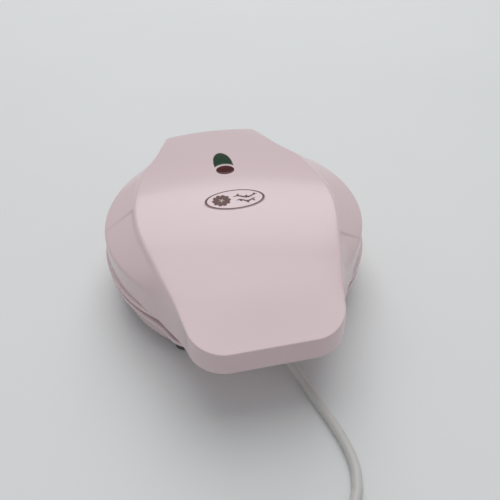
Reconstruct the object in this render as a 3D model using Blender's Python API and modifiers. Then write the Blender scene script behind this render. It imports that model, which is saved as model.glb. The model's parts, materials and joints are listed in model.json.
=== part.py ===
"""Waffle maker for five hearts, with a hinged lid, two cast plates and a mains lead.

Units are metres and Z is up. The empty "body_centre" stands on the table under the centre of
the round body: +Y runs to the hinge and -Y to the handle. Every mesh is drawn from that centre.
It is set so that the appliance's own box is centred on the world origin.
"""

import math

import bmesh
import bpy
from mathutils import Vector

# ---------------------------------------------------------------- driving sizes
GAP = 0.0003                # clearance between pieces that touch on the real object

# plan of the lid
LID_RADIUS = 0.1075         # outer edge of the two wings
FRONT_REACH = 0.1473        # centre to the upper front edge
REAR_REACH = 0.1428         # centre to the upper rear edge
BAND_FRONT = 0.0488         # half width of the raised band at the handle's end
BAND_MIDDLE = 0.0813        # half width of the band over the plates
BAND_REAR = 0.0461          # half width of the band at the hinge end
FRONT_CORNER = 0.020        # plan radius of the handle's corners
REAR_CORNER = 0.004         # plan radius of the rear corners
NECK_BLEND = 0.007          # softness of the curve where a wing runs into the neck

# heights of the lid
BAND_TOP = 0.0817           # edge of the band at its highest point
BAND_TOP_Y = -0.021         # where along the band that point lies
BAND_FRONT_HEIGHT = 0.0707
BAND_REAR_HEIGHT = 0.0625
CROWN = 0.0037              # rise of the band's middle over its edges
WING_HEIGHT = 0.0665        # outer edge of a wing
WING_STEP = 0.0030          # drop from the band's edge to the wing beside it
STEP_REACH = 0.0022         # how far out that drop reaches
LID_BOTTOM = 0.045          # lower edge of the lid's wall around the plates
HANDLE_BOTTOM = 0.0528      # lower edge of the handle's skirt
LID_DRAFT = 0.0012          # how far the round wall leans out
HANDLE_DRAFT = 0.0010       # how far the skirt leans out
NECK_DRAFT = 0.0032         # the same where the wings run into the handle
EDGE_ROUND = 0.0004         # softening of the upper edge where no wing is left
LID_WALL = 0.0024

# plates and the two housings that hold them
PLATE_RADIUS = 0.096        # over the flange
PLATE_FLANGE = 0.0025
PAN_RADIUS = 0.088          # outside of the cast pan
PAN_WALL = 0.003
CAVITY_DEPTH = 0.010
RIDGE_HEIGHT = 0.005
RIDGE_WIDTH = 0.0026
RIDGE_PITCH = 0.0220
HEARTS = 5
DIVIDER_HEIGHT = 0.0075
DIVIDER_WIDTH = 0.003
HUB_RADIUS = 0.009
PARTING = 0.0369            # upper face of the lower plate
PLATE_GAP = GAP             # left between the closed plates
FRAME_RADIUS = 0.111        # lip round the lid's lower edge
FRAME_BOTTOM = 0.0395
FRAME_FLOOR = 0.0022        # thickness of the frame's flange
SEAT_WIDTH = 0.0055         # ledge under a plate's flange

# base
BASE_INSET = 0.0012         # base wall inside the lid's wing edge
BASE_DRAFT = 0.0028
BASE_TOP = 0.036
BASE_BOTTOM = 0.0085
BASE_WALL = 0.0025
BASE_FRONT = 0.1035         # centre to the base's front wall
BASE_REAR = 0.118
BASE_CORNER = 0.004
BASE_REAR_CORNER = 0.008
NICHE_DEPTH = 0.0095        # hollow in the front wall where the lead comes out
NICHE_HALF = 0.011
NICHE_TOP = 0.0225
LIP_RADIUS = 0.1105         # lip round the base's upper edge, below the lid's own lip
LIP_NECK = 0.0055           # how much wider than the band the lip is under the handle's neck
LIP_BLEND = 0.005
LIP_REAR_BLEND = 0.0015
LIP_FRONT = 0.108
LIP_CORNER = 0.014
LIP_HEIGHT = 0.0042
LIP_SINK = 0.0003           # top of the lip below the base's upper face
LIP_HOLD = 0.002            # how deep the lip is let into the wall
COVER_THICKNESS = 0.002
COVER_SCREWS = ((0.070, -0.055), (0.078, 0.040))
COVER_SCREW_LENGTH = 0.010
HANDLE_SCREW = (0.030, -0.136)
HANDLE_SCREW_LENGTH = 0.008
SLEEVE_HOLE_X = 0.012       # the lamp's leads leave the base here on -X and enter the lid on +X
FOOT_RADIUS = 0.0072
FRONT_FEET = (0.057, -0.0780)
REAR_FEET = (0.040, 0.100)

# heating
ELEMENT_RING = 0.060
ELEMENT_RADIUS = 0.00325
ELEMENT_OPENING = math.radians(50)
REFLECTOR_RADIUS = 0.084
REFLECTOR_SHEET = 0.0007
REFLECTOR_WALL = 0.008
REFLECTOR_GAP = 0.0035      # under the element
SCREW_RADIUS = 0.0019
SCREW_HEAD = 0.0036
SCREW_HEAD_HEIGHT = 0.0022
PLATE_SCREW_RING = 0.030
REFLECTOR_HOLE = 0.014      # opening in the middle of a heat shield
THERMOSTAT_RADIUS = 0.008
THERMOSTAT_HEIGHT = 0.0075

# hinge
HINGE_Y = 0.131
HINGE_Z = 0.030
PIN_RADIUS = 0.002
EAR_RADIUS = 0.0065
ARM_INNER = 0.030
ARM_WIDTH = 0.011
LUG_WIDTH = 0.0075
HEEL_REACH = 0.0138         # heel of a lug, which meets the base's wall when the lid is open
SLEEVE_RADIUS = 0.0035

# lamps and badge on the band
RED_LAMP_Y = 0.0394
RED_LAMP_RADIUS = 0.0077
GREEN_LAMP_HALF = 0.0082
GREEN_LAMP_REACH = 0.0351   # red lamp's centre to the green lamp's far end
GREEN_LAMP_SHOULDER = 0.0125  # red lamp's centre to where the green lamp is widest
LAMP_SPACE = 0.0033         # band left between the two lenses
LENS_SINK = 0.0012          # seat of a lens below the band's surface
BADGE_Y = -0.0088
BADGE_HALF_LENGTH = 0.0250
BADGE_HALF_WIDTH = 0.0130
BADGE_THICKNESS = 0.0005

# mains lead
CORD_RADIUS = 0.0034
CORD_REST = CORD_RADIUS + 0.0001
EXIT_X = 0.012
EXIT_HEIGHT = 0.015
BOOT_ROOT = 0.0058
BOOT_TIP = 0.0045
COIL_CENTRE = Vector((0.046, -0.274, 0.0))
COIL_RADIUS = 0.036         # middle of the turns
COIL_SHIFT = 0.0036         # the two lower turns lie this far inside and outside the middle
COIL_ARRIVAL = math.radians(153)
COIL_LEAVE = math.radians(115)
TAIL_HEIGHT = 0.011
TAIL_LENGTH = 0.013
PLUG_BOOT = 0.022
PLUG_GRIP = 0.024
PLUG_HEAD = 0.018
PLUG_RADIUS = 0.0187
PLUG_PIN_LENGTH = 0.019
PLUG_PIN_RADIUS = 0.0024
PLUG_PIN_SPREAD = 0.0095

# resolution
ROUND = 36
FINE_ROUND = 48
SMALL_ROUND = 12

HINGE_CENTRE = Vector((0.0, HINGE_Y, HINGE_Z))
BODY_Y = (FRONT_REACH + HANDLE_DRAFT - REAR_REACH - LID_DRAFT) / 2

# route of the lead from the base's front wall to the coil, chosen by hand
CORD_ROUTE = (
    (EXIT_X, -0.0914, EXIT_HEIGHT),
    (EXIT_X, -0.0975, EXIT_HEIGHT),
    (EXIT_X + 0.0007, -0.1040, 0.0146),
    (EXIT_X + 0.0024, -0.1100, 0.0136),
    (EXIT_X + 0.0052, -0.1160, 0.0119),
    (0.0204, -0.1220, 0.0094),
    (0.0235, -0.1285, 0.0068),
    (0.0266, -0.1360, 0.0048),
    (0.0298, -0.1465, 0.0037),
    (0.0344, -0.1615, CORD_REST),
    (0.0381, -0.1746, CORD_REST),
    (0.0405, -0.1861, CORD_REST),
    (0.0416, -0.1970, CORD_REST),
    (0.0409, -0.2060, CORD_REST),
    (0.0385, -0.2140, CORD_REST),
    (0.0348, -0.2215, CORD_REST),
)
BOOT_POINTS = 5             # points of the route inside the strain relief


# ---------------------------------------------------------------- small helpers
def smoothstep(value):
    """Ease from 0 to 1 as value runs from 0 to 1."""
    value = min(max(value, 0.0), 1.0)
    return value * value * (3.0 - 2.0 * value)


def mix(a, b, share):
    return a + (b - a) * share


def soft_max(a, b, width):
    """Larger of two lengths, with the change-over spread over width."""
    high = max(a, b)
    return high + width * math.log(math.exp((a - high) / width) + math.exp((b - high) / width))


def soft_min(a, b, width):
    return -soft_max(-a, -b, width)


def through(points, where):
    """Height of a smooth curve through (position, value) points."""
    last = len(points) - 2
    index = max(0, min(last, sum(1 for point in points[1:] if point[0] < where)))
    (x0, v0), (x1, v1) = points[index], points[index + 1]

    def slope(k):
        low, high = max(k - 1, 0), min(k + 1, last + 1)
        return (points[high][1] - points[low][1]) / (points[high][0] - points[low][0])

    span = x1 - x0
    t = min(max((where - x0) / span, 0.0), 1.0)
    s0, s1 = slope(index) * span, slope(index + 1) * span
    return (v0 * (2 * t ** 3 - 3 * t ** 2 + 1) + s0 * (t ** 3 - 2 * t ** 2 + t)
            + v1 * (3 * t ** 2 - 2 * t ** 3) + s1 * (t ** 3 - t ** 2))


def material(name, colour, roughness, metallic=0.0):
    """Principled material of one colour."""
    made = bpy.data.materials.get(name) or bpy.data.materials.new(name)
    made.use_nodes = True
    shader = made.node_tree.nodes["Principled BSDF"]
    shader.inputs["Base Color"].default_value = (*colour, 1.0)
    shader.inputs["Roughness"].default_value = roughness
    shader.inputs["Metallic"].default_value = metallic
    return made


FINISHES = {
    "pink": ((0.63, 0.47, 0.49), 0.22, 0.0),
    "coating": ((0.03, 0.03, 0.03), 0.45, 0.2),
    "steel": ((0.55, 0.55, 0.55), 0.35, 1.0),
    "bright_sheet": ((0.7, 0.7, 0.7), 0.3, 1.0),
    "rubber": ((0.18, 0.18, 0.18), 0.8, 0.0),
    "white_pvc": ((0.78, 0.77, 0.75), 0.4, 0.0),
    "green_lens": ((0.005, 0.09, 0.02), 0.1, 0.0),
    "red_lens": ((0.16, 0.004, 0.002), 0.1, 0.0),
    "brown_print": ((0.16, 0.03, 0.02), 0.5, 0.0),
    "board": ((0.35, 0.25, 0.1), 0.6, 0.0),
    "glass": ((0.8, 0.5, 0.35), 0.1, 0.0),
    "ceramic": ((0.75, 0.72, 0.65), 0.6, 0.0),
    "brass": ((0.7, 0.55, 0.25), 0.3, 1.0),
    "nickel": ((0.65, 0.62, 0.58), 0.25, 1.0),
}


class Model:
    """Collections and empties that the pieces hang on."""

    def __init__(self):
        for old in list(bpy.data.objects):
            bpy.data.objects.remove(old)
        self.parts = bpy.data.collections.new("waffle_maker")
        self.cutters = bpy.data.collections.new("cutters")
        scene = bpy.context.scene
        scene.collection.children.link(self.parts)
        scene.collection.children.link(self.cutters)
        self.body = bpy.data.objects.new("body_centre", None)
        self.body.location = (0.0, BODY_Y, 0.0)
        self.lid = bpy.data.objects.new("lid_hinge_axis", None)
        self.lid.parent = self.body
        self.lid.location = HINGE_CENTRE
        self.parts.objects.link(self.body)
        self.parts.objects.link(self.lid)

    def add(self, name, data, finish, on_lid=False):
        """Place a mesh or curve drawn from the body's centre."""
        made = bpy.data.objects.new(name, data)
        made.parent = self.lid if on_lid else self.body
        if on_lid:
            made.location = -HINGE_CENTRE
        data.materials.append(material(finish, *FINISHES[finish]))
        self.parts.objects.link(made)
        return made

    def cutter(self, name, data, on_lid=False):
        made = bpy.data.objects.new(name, data)
        made.parent = self.lid if on_lid else self.body
        if on_lid:
            made.location = -HINGE_CENTRE
        made.display_type = "WIRE"
        made.hide_render = True
        self.cutters.objects.link(made)
        return made


def combine(target, tool, operation):
    """Boolean of a piece with a cutter, which may overlap itself."""
    cut = target.modifiers.new(tool.name, "BOOLEAN")
    cut.operation = operation
    cut.solver = "EXACT"
    cut.object = tool
    cut.use_self = operation == "UNION"


def mesh_from(name, build):
    """Mesh filled by a function that works on a bmesh."""
    work = bmesh.new()
    build(work)
    data = bpy.data.meshes.new(name)
    work.to_mesh(data)
    work.free()
    return data


def add_box(work, low, high):
    """Box between two corners, started from a unit cube."""
    made = bmesh.ops.create_cube(work, size=1.0)["verts"]
    middle = [(a + b) / 2 for a, b in zip(low, high)]
    size = [b - a for a, b in zip(low, high)]
    bmesh.ops.scale(work, vec=size, verts=made)
    bmesh.ops.translate(work, vec=middle, verts=made)
    return made


def add_rod(work, start, end, radius, tip_radius=None, segments=SMALL_ROUND):
    """Round bar, or a tapered one, between two points."""
    start, end = Vector(start), Vector(end)
    line = end - start
    made = bmesh.ops.create_cone(
        work, cap_ends=True, segments=segments, radius1=radius,
        radius2=radius if tip_radius is None else tip_radius, depth=line.length)["verts"]
    turn = Vector((0, 0, 1)).rotation_difference(line.normalized()).to_matrix()
    bmesh.ops.rotate(work, matrix=turn, verts=made)
    bmesh.ops.translate(work, vec=(start + end) / 2, verts=made)
    return made


def section_mesh(name, profile, closed):
    """Mesh for a Screw modifier: profile runs down the outer side."""
    data = bpy.data.meshes.new(name)
    count = len(profile)
    edges = [(k, k + 1) for k in range(count - 1)]
    if closed:
        edges.append((count - 1, 0))
    data.from_pydata([(r, 0.0, z) for r, z in profile], edges, [])
    return data


def spin(piece, segments):
    """Turn a profile about the object's own Z axis."""
    screw = piece.modifiers.new("turning", "SCREW")
    screw.axis = "Z"
    screw.angle = math.tau
    screw.steps = segments
    screw.render_steps = segments
    screw.use_merge_vertices = True
    screw.merge_threshold = 0.00001
    screw.use_smooth_shade = True


def add_turned(model, name, profile, finish, on_lid=False, segments=ROUND, closed=True,
               place=(0.0, 0.0, 0.0), direction=None):
    """Turned piece at a place, with its axis along direction."""
    piece = model.add(name, section_mesh(name, profile, closed), finish, on_lid)
    piece.location = piece.location + Vector(place)
    if direction is not None:
        piece.rotation_mode = "QUATERNION"
        piece.rotation_quaternion = Vector((0, 0, 1)).rotation_difference(direction)
    spin(piece, segments)
    return piece


def add_tube(model, name, points, radius, finish, on_lid=False, resolution=2, taper=None):
    """Round bar along points, as a curve with filled caps."""
    data = bpy.data.curves.new(name, "CURVE")
    data.dimensions = "3D"
    data.bevel_depth = radius
    data.bevel_resolution = resolution
    data.use_fill_caps = True
    line = data.splines.new("POLY")
    line.points.add(len(points) - 1)
    for index, (target, point) in enumerate(zip(line.points, points)):
        target.co = (*point, 1.0)
        if taper is not None:
            target.radius = mix(1.0, taper, index / (len(points) - 1))
    return model.add(name, data, finish, on_lid)


def extruded(outline, axis, low, high):
    """Mesh of a flat outline carried from low to high along X or Z."""
    def build(work):
        def corner(point, depth):
            return (depth, *point) if axis == "X" else (*point, depth)
        base = [work.verts.new(corner(point, low)) for point in outline]
        top = [work.verts.new(corner(point, high)) for point in outline]
        count = len(outline)
        work.faces.new(list(reversed(base)))
        work.faces.new(top)
        for k in range(count):
            after = (k + 1) % count
            work.faces.new((base[k], base[after], top[after], top[k]))
        bmesh.ops.recalc_face_normals(work, faces=work.faces)
    return mesh_from("outline", build)


def arc(centre, radius, start, end, count):
    """Points along an arc, both ends included."""
    return [(centre[0] + radius * math.cos(mix(start, end, k / count)),
             centre[1] + radius * math.sin(mix(start, end, k / count)))
            for k in range(count + 1)]


# ---------------------------------------------------------------- shape of the lid
def band_half(y):
    """Half width of the raised band at y."""
    return through((
        (-FRONT_REACH, BAND_FRONT),
        (-0.110, mix(BAND_FRONT, BAND_MIDDLE, 0.268)),
        (-0.070, mix(BAND_FRONT, BAND_MIDDLE, 0.615)),
        (-0.030, mix(BAND_FRONT, BAND_MIDDLE, 0.926)),
        (0.0, BAND_MIDDLE),
        (0.030, mix(BAND_REAR, BAND_MIDDLE, 0.905)),
        (0.060, mix(BAND_REAR, BAND_MIDDLE, 0.745)),
        (0.085, mix(BAND_REAR, BAND_MIDDLE, 0.435)),
        (0.120, mix(BAND_REAR, BAND_MIDDLE, 0.155)),
        (REAR_REACH, BAND_REAR)), y)


def band_edge_height(y):
    """Height of the band's edge at y: two half parabolas with one top."""
    if y < BAND_TOP_Y:
        share = (y - BAND_TOP_Y) / (-FRONT_REACH - BAND_TOP_Y)
        return BAND_TOP - (BAND_TOP - BAND_FRONT_HEIGHT) * share ** 2
    share = (y - BAND_TOP_Y) / (REAR_REACH - BAND_TOP_Y)
    return BAND_TOP - (BAND_TOP - BAND_REAR_HEIGHT) * share ** 2


def crown(y):
    """Rise of the band's middle line over its edges at y."""
    front = smoothstep((y + FRONT_REACH) / 0.045)
    rear = 1.0 - 0.2 * max(y / REAR_REACH, 0.0) ** 2
    return CROWN * front * rear


def lid_top(x, y):
    """Height of the band's surface."""
    share = min(abs(x) / band_half(y), 1.0)
    return band_edge_height(y) + crown(y) * (1.0 - share ** 2)


def circle_half(radius, y):
    return math.sqrt(max(radius ** 2 - y ** 2, 0.0))


def wing_half(y):
    """Half width of the lid at the outer edge of its wings."""
    neck = band_half(y) + EDGE_ROUND + 0.002 * (1.0 - smoothstep((-0.092 - y) / 0.022)) * (y < 0)
    return soft_max(circle_half(LID_RADIUS, y), neck, NECK_BLEND)


def wing_height(y):
    """Height of a wing's outer edge, which rises to the band's edge at the handle."""
    edge = band_edge_height(y)
    plain = soft_min(WING_HEIGHT, edge - 0.0045, 0.001)
    return mix(plain, edge - 0.001, smoothstep((-0.082 - y) / 0.038))


def lid_bottom(y):
    """Lower edge of the lid's wall, which rises to the handle's skirt."""
    return mix(LID_BOTTOM, HANDLE_BOTTOM, smoothstep((-0.095 - y) / 0.036))


def corner_inset(distance, radius):
    """How far a rounded corner pulls the side in, at a distance from the end."""
    if distance >= radius:
        return 0.0
    return radius - math.sqrt(max(radius ** 2 - (radius - distance) ** 2, 0.0))


def wall_draft(y):
    """How far the lid's wall leans out between the wing's edge and its lower rim."""
    return through((
        (-0.140, HANDLE_DRAFT), (-0.125, HANDLE_DRAFT), (-0.105, NECK_DRAFT),
        (-0.085, NECK_DRAFT), (-0.065, LID_DRAFT), (0.0, LID_DRAFT)), y)


class Station:
    """One stop on the way round a plan outline: a point and its outward direction."""

    def __init__(self, x, y, out_x, out_y):
        self.x, self.y = x, y
        self.out = Vector((out_x, out_y))

    def offset(self, distance, height):
        return (self.x + self.out.x * distance, self.y + self.out.y * distance, height)


def side_rows(front, rear, front_corner, rear_corner, steps):
    """Values of y from the front end to the rear one, close together in the corners."""
    rows = [-front + front_corner * (1.0 - math.cos(math.pi / 2 * k / 5)) for k in range(5)]
    start, stop = -front + front_corner, rear - rear_corner
    rows += [mix(start, stop, k / steps) for k in range(steps + 1)]
    rows += [rear - rear_corner * (1.0 - math.sin(math.pi / 2 * k / 3)) for k in range(1, 4)]
    return rows


def outward(y, front, rear, front_corner, rear_corner):
    """Outward direction on the +X side, turned from the ends through their corners."""
    if y < -front + front_corner:
        turn = math.acos(min(max((-front + front_corner - y) / front_corner, 0.0), 1.0))
        return math.sin(turn), -math.cos(turn)
    if y > rear - rear_corner:
        turn = math.acos(min(max((y - rear + rear_corner) / rear_corner, 0.0), 1.0))
        return math.sin(turn), math.cos(turn)
    return 1.0, 0.0


def lid_stations(rows):
    """Stations up the +X side of the band, one for each row."""
    stations = []
    for y in rows:
        inset = (corner_inset(y + FRONT_REACH, FRONT_CORNER)
                 + corner_inset(REAR_REACH - y, REAR_CORNER))
        stations.append(Station(band_half(y) - inset, y,
                                *outward(y, FRONT_REACH, REAR_REACH, FRONT_CORNER, REAR_CORNER)))
    return stations


def lid_profile(y):
    """Distances out from the band's edge and heights, from the edge down to the lower rim."""
    edge, low = band_edge_height(y), lid_bottom(y)
    wing = wing_half(y) - band_half(y)
    rim = wing_height(y)
    broad = smoothstep((wing - 0.002) / 0.012)
    valley = mix(0.4 * wing, STEP_REACH, broad)
    valley_height = edge - mix(0.4 * (edge - rim), WING_STEP, broad)
    draft = wall_draft(y)
    return [
        (valley, valley_height),
        (mix(valley, wing, 0.55), mix(valley_height, rim, 0.52)),
        (wing - 0.0006, rim + 0.0004),
        (wing + 0.25 * draft, rim - 0.0022),
        (wing + draft, low),
    ]


def grid_with_skirt(work, grid, skirt):
    """Faces of a grid of rows and of rings that hang from its border.

    grid is a list of rows of points; skirt is a list of rings, each with one point for each
    border point of the grid, in order from row 0 around counter-clockwise.
    """
    verts = [[work.verts.new(point) for point in row] for row in grid]
    for low, high in zip(verts, verts[1:]):
        for k in range(len(low) - 1):
            work.faces.new((low[k], low[k + 1], high[k + 1], high[k]))
    border = (verts[0] + [row[-1] for row in verts[1:]] + verts[-1][-2::-1]
              + [row[0] for row in verts[-2:0:-1]])
    previous = border
    for ring in skirt:
        current = [work.verts.new(point) for point in ring]
        for k in range(len(ring)):
            after = (k + 1) % len(ring)
            work.faces.new((previous[k], current[k], current[after], previous[after]))
        previous = current
    return previous


def lid_shell_mesh(columns=8, steps=22):
    """Open outer surface of the lid: band, wings and wall."""
    rows = side_rows(FRONT_REACH, REAR_REACH, FRONT_CORNER, REAR_CORNER, steps)
    side = lid_stations(rows)
    shares = [2 * k / columns - 1 for k in range(columns + 1)]
    grid = []
    for station in side:
        grid.append([(share * station.x, station.y, band_edge_height(station.y)
                      + crown(station.y) * (1 - share ** 2)) for share in shares])

    front = [Station(share * side[0].x, side[0].y, 0, -1) for share in shares]
    rear = [Station(-share * side[-1].x, side[-1].y, 0, 1) for share in shares]
    left = [Station(-s.x, s.y, -s.out.x, s.out.y) for s in reversed(side)]
    loop = front + side[1:-1] + rear + left[1:-1]
    rings = []
    for level in range(len(lid_profile(0.0))):
        ring = []
        for station in loop:
            distance, height = lid_profile(station.y)[level]
            ring.append(station.offset(distance, height))
        rings.append(ring)
    return mesh_from("lid_shell", lambda work: grid_with_skirt(work, grid, rings))


def solidify(piece, thickness):
    """Give an open outer surface its wall, on the inner side."""
    wall = piece.modifiers.new("wall", "SOLIDIFY")
    wall.thickness = thickness
    wall.offset = -1.0
    wall.use_even_offset = False
    wall.use_rim = True


def lens_outline(grow=0.0):
    """Outline of the green lens: half an oval with a hollow foot over the red lens."""
    foot = RED_LAMP_RADIUS + LAMP_SPACE - grow
    half = GREEN_LAMP_HALF + grow
    turn = math.asin(half / foot)
    hollow = arc((0.0, RED_LAMP_Y), foot, math.pi / 2 + turn, math.pi / 2 - turn, 6)
    rise = GREEN_LAMP_REACH - GREEN_LAMP_SHOULDER + grow
    shoulder = RED_LAMP_Y + GREEN_LAMP_SHOULDER
    head = [(half * x, shoulder + rise * y) for x, y in arc((0.0, 0.0), 1.0, 0.0, math.pi, 12)]
    return head + hollow


def round_outline(grow=0.0):
    return arc((0.0, RED_LAMP_Y), RED_LAMP_RADIUS + grow, 0.0, math.tau, 20)[:-1]


def add_lid(model):
    """Lid shell with the openings for its two lenses."""
    shell = model.add("lid_shell", lid_shell_mesh(), "pink", on_lid=True)
    solidify(shell, LID_WALL)
    low, high = BAND_REAR_HEIGHT, BAND_TOP + 2 * CROWN
    for name, outline in (("green_opening", lens_outline(GAP)), ("red_opening", round_outline(GAP))):
        combine(shell, model.cutter(name, extruded(outline, "Z", low, high), True), "DIFFERENCE")


def add_lens(model, name, outline, finish):
    """Lens that fills its opening and follows the band's surface."""
    def build(work):
        top = [work.verts.new((x, y, lid_top(x, y) + 0.0004)) for x, y in outline]
        base = [work.verts.new((x, y, lid_top(x, y) - LID_WALL - LENS_SINK)) for x, y in outline]
        count = len(outline)
        work.faces.new(top)
        work.faces.new(list(reversed(base)))
        for k in range(count):
            after = (k + 1) % count
            work.faces.new((base[k], base[after], top[after], top[k]))
        bmesh.ops.recalc_face_normals(work, faces=work.faces)
    model.add(name, mesh_from(name, build), finish, on_lid=True)


def add_lamps(model):
    """Two lenses, the board under them and its two neon lamps."""
    add_lens(model, "lamp_lens_green", lens_outline(), "green_lens")
    add_lens(model, "lamp_lens_red", round_outline(), "red_lens")
    board_top = lid_top(0.0, RED_LAMP_Y + GREEN_LAMP_REACH) - 0.0118
    middle = RED_LAMP_Y + GREEN_LAMP_REACH / 2

    def board(work):
        add_box(work, (-0.013, middle - 0.022, board_top - 0.0016),
                (0.013, middle + 0.022, board_top))
    model.add("lamp_board", mesh_from("lamp_board", board), "board", on_lid=True)
    for name, y in (("neon_red", RED_LAMP_Y), ("neon_green", RED_LAMP_Y + 0.020)):
        height = board_top + GAP + 0.0028

        def bulb(work, y=y, height=height):
            add_rod(work, (-0.006, y, height), (0.006, y, height), 0.0028)
        model.add(name, mesh_from(name, bulb), "glass", on_lid=True)


def add_badge(model):
    """Thin oval badge that follows the crown of the band."""
    count, rings = 32, 3

    def build(work):
        def height(x, y):
            return lid_top(x, y) + GAP
        sheets = []
        for rise in (0.0, BADGE_THICKNESS):
            centre = work.verts.new((0.0, BADGE_Y, height(0.0, BADGE_Y) + rise))
            circles = []
            for ring in range(1, rings + 1):
                row = []
                for k in range(count):
                    turn = math.tau * k / count
                    x = BADGE_HALF_LENGTH * ring / rings * math.cos(turn)
                    y = BADGE_Y + BADGE_HALF_WIDTH * ring / rings * math.sin(turn)
                    row.append(work.verts.new((x, y, height(x, y) + rise)))
                circles.append(row)
            sheets.append(circles)
            for k in range(count):
                work.faces.new((centre, circles[0][k], circles[0][(k + 1) % count]))
            for inner, outer in zip(circles, circles[1:]):
                for k in range(count):
                    after = (k + 1) % count
                    work.faces.new((inner[k], outer[k], outer[after], inner[after]))
        low, high = sheets[0][-1], sheets[1][-1]
        for k in range(count):
            after = (k + 1) % count
            work.faces.new((low[k], low[after], high[after], high[k]))
        bmesh.ops.recalc_face_normals(work, faces=work.faces)
    model.add("badge", mesh_from("badge", build), "brown_print", on_lid=True)


def add_lid_frame(model):
    """Ring that closes the lid's lower edge and carries the upper plate."""
    plate_back = PARTING + PLATE_GAP + PLATE_FLANGE + GAP
    lip_outer = LID_RADIUS - LID_WALL - 0.0012
    lip_inner = lip_outer - 0.0018
    rim_top = LID_BOTTOM - GAP
    seat = PLATE_RADIUS + GAP
    profile = [
        (LID_RADIUS + LID_DRAFT + 0.0006, rim_top),
        (FRAME_RADIUS - 0.0008, rim_top - 0.0004),
        (FRAME_RADIUS, rim_top - 0.0014),
        (FRAME_RADIUS, FRAME_BOTTOM + 0.0008),
        (FRAME_RADIUS - 0.0008, FRAME_BOTTOM),
        (seat, FRAME_BOTTOM),
        (seat, plate_back),
        (seat - SEAT_WIDTH, plate_back),
        (seat - SEAT_WIDTH, plate_back + FRAME_FLOOR),
        (seat + FRAME_FLOOR, plate_back + FRAME_FLOOR),
        (lip_inner - 0.002, rim_top - FRAME_FLOOR + 0.0012),
        (lip_inner, rim_top),
        (lip_inner, rim_top + 0.006),
        (lip_outer, rim_top + 0.006),
        (lip_outer, rim_top),
    ]
    add_turned(model, "lid_frame", profile, "pink", on_lid=True, segments=FINE_ROUND)


def closing_plate(rows, half, height, thickness):
    """Mesh of a plate between rows of y: half(y) gives its width and height(y) its underside."""
    def build(work):
        sheets = []
        for rise in (0.0, thickness):
            sheets.append([[work.verts.new((side * half(y), y, height(y) + rise))
                            for side in (-1, 0, 1)] for y in rows])
        for sheet in sheets:
            for low, high in zip(sheet, sheet[1:]):
                for k in range(2):
                    work.faces.new((low[k], low[k + 1], high[k + 1], high[k]))
        base, top = sheets
        border = [[row[0] for row in sheet] + sheet[-1][1:]
                  + [row[2] for row in reversed(sheet[:-1])] + [sheet[0][1]]
                  for sheet in (base, top)]
        count = len(border[0])
        for k in range(count):
            after = (k + 1) % count
            work.faces.new((border[0][k], border[0][after], border[1][after], border[1][k]))
        bmesh.ops.recalc_face_normals(work, faces=work.faces)
    return mesh_from("closing_plate", build)


def add_handle_cover(model):
    """Plate that closes the handle from below, inside its skirt."""
    clear = LID_WALL + 0.0012
    front = -FRONT_REACH + clear + 0.0004
    back = -math.sqrt(FRAME_RADIUS ** 2 - 0.030 ** 2) - 0.0016

    def half(y):
        inset = corner_inset(y + FRONT_REACH, FRONT_CORNER)
        return wing_half(y) - inset - clear - 0.001

    rows = [mix(front, front + FRONT_CORNER, smoothstep(k / 4)) for k in range(5)]
    rows += [mix(front + FRONT_CORNER, back, k / 3) for k in range(1, 4)]
    cover = model.add("handle_cover", closing_plate(
        rows, half, lambda y: lid_bottom(y) + 0.0012, 0.002), "pink", on_lid=True)
    relief = mesh_from("frame_relief", lambda work: add_rod(
        work, (0, 0, FRAME_BOTTOM - 0.001), (0, 0, LID_BOTTOM + 0.009),
        FRAME_RADIUS + GAP, segments=FINE_ROUND))
    combine(cover, model.cutter("frame_relief", relief, True), "DIFFERENCE")
    holes = model.cutter("handle_screw_holes", mesh_from("handle_screw_holes", lambda work: [
        add_rod(work, (side * HANDLE_SCREW[0], HANDLE_SCREW[1], HANDLE_BOTTOM - 0.003),
                (side * HANDLE_SCREW[0], HANDLE_SCREW[1], HANDLE_BOTTOM + 0.007),
                SCREW_RADIUS + GAP) for side in (-1, 1)]), True)
    combine(cover, holes, "DIFFERENCE")
    for name, side in (("handle_screw_left", -1), ("handle_screw_right", 1)):
        under = lid_bottom(HANDLE_SCREW[1]) + 0.0012 - GAP
        add_screw(model, name, (side * HANDLE_SCREW[0], HANDLE_SCREW[1], under),
                  Vector((0, 0, 1)), HANDLE_SCREW_LENGTH, True)


def add_screw(model, name, place, direction, length, on_lid=False):
    """Pan-head screw whose head bears at place, with its shank along direction."""
    profile = [
        (0.0, length),
        (SCREW_RADIUS * 0.6, length),
        (SCREW_RADIUS, length - 0.0012),
        (SCREW_RADIUS, 0.0),
        (SCREW_HEAD, 0.0),
        (SCREW_HEAD, -SCREW_HEAD_HEIGHT * 0.5),
        (SCREW_HEAD * 0.6, -SCREW_HEAD_HEIGHT),
        (0.0, -SCREW_HEAD_HEIGHT),
    ]
    add_turned(model, name, profile, "steel", on_lid, SMALL_ROUND, False, place, direction)


# ---------------------------------------------------------------- hinge
def ear_outline():
    """Side view of an arm of the base, round about the hinge pin."""
    wall = BASE_REAR + GAP
    return ([(wall, HINGE_Z - EAR_RADIUS)]
            + arc((HINGE_Y, HINGE_Z), EAR_RADIUS, -math.pi / 2, math.pi / 2, 8)
            + [(wall, HINGE_Z + EAR_RADIUS)])


def lug_outline(top):
    """Side view of a lug of the lid: round about the pin, with a heel that stops the lid."""
    heel = math.radians(-60)
    tip = (HINGE_Y + HEEL_REACH * math.cos(heel), HINGE_Z + HEEL_REACH * math.sin(heel))
    return [
        (HINGE_Y - EAR_RADIUS, HINGE_Z),
        (HINGE_Y - 0.0042, HINGE_Z - 0.0112),
        tip,
        (HINGE_Y + EAR_RADIUS + 0.0005, HINGE_Z),
        (HINGE_Y + EAR_RADIUS, top),
        (HINGE_Y - EAR_RADIUS, top),
    ]


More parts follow.
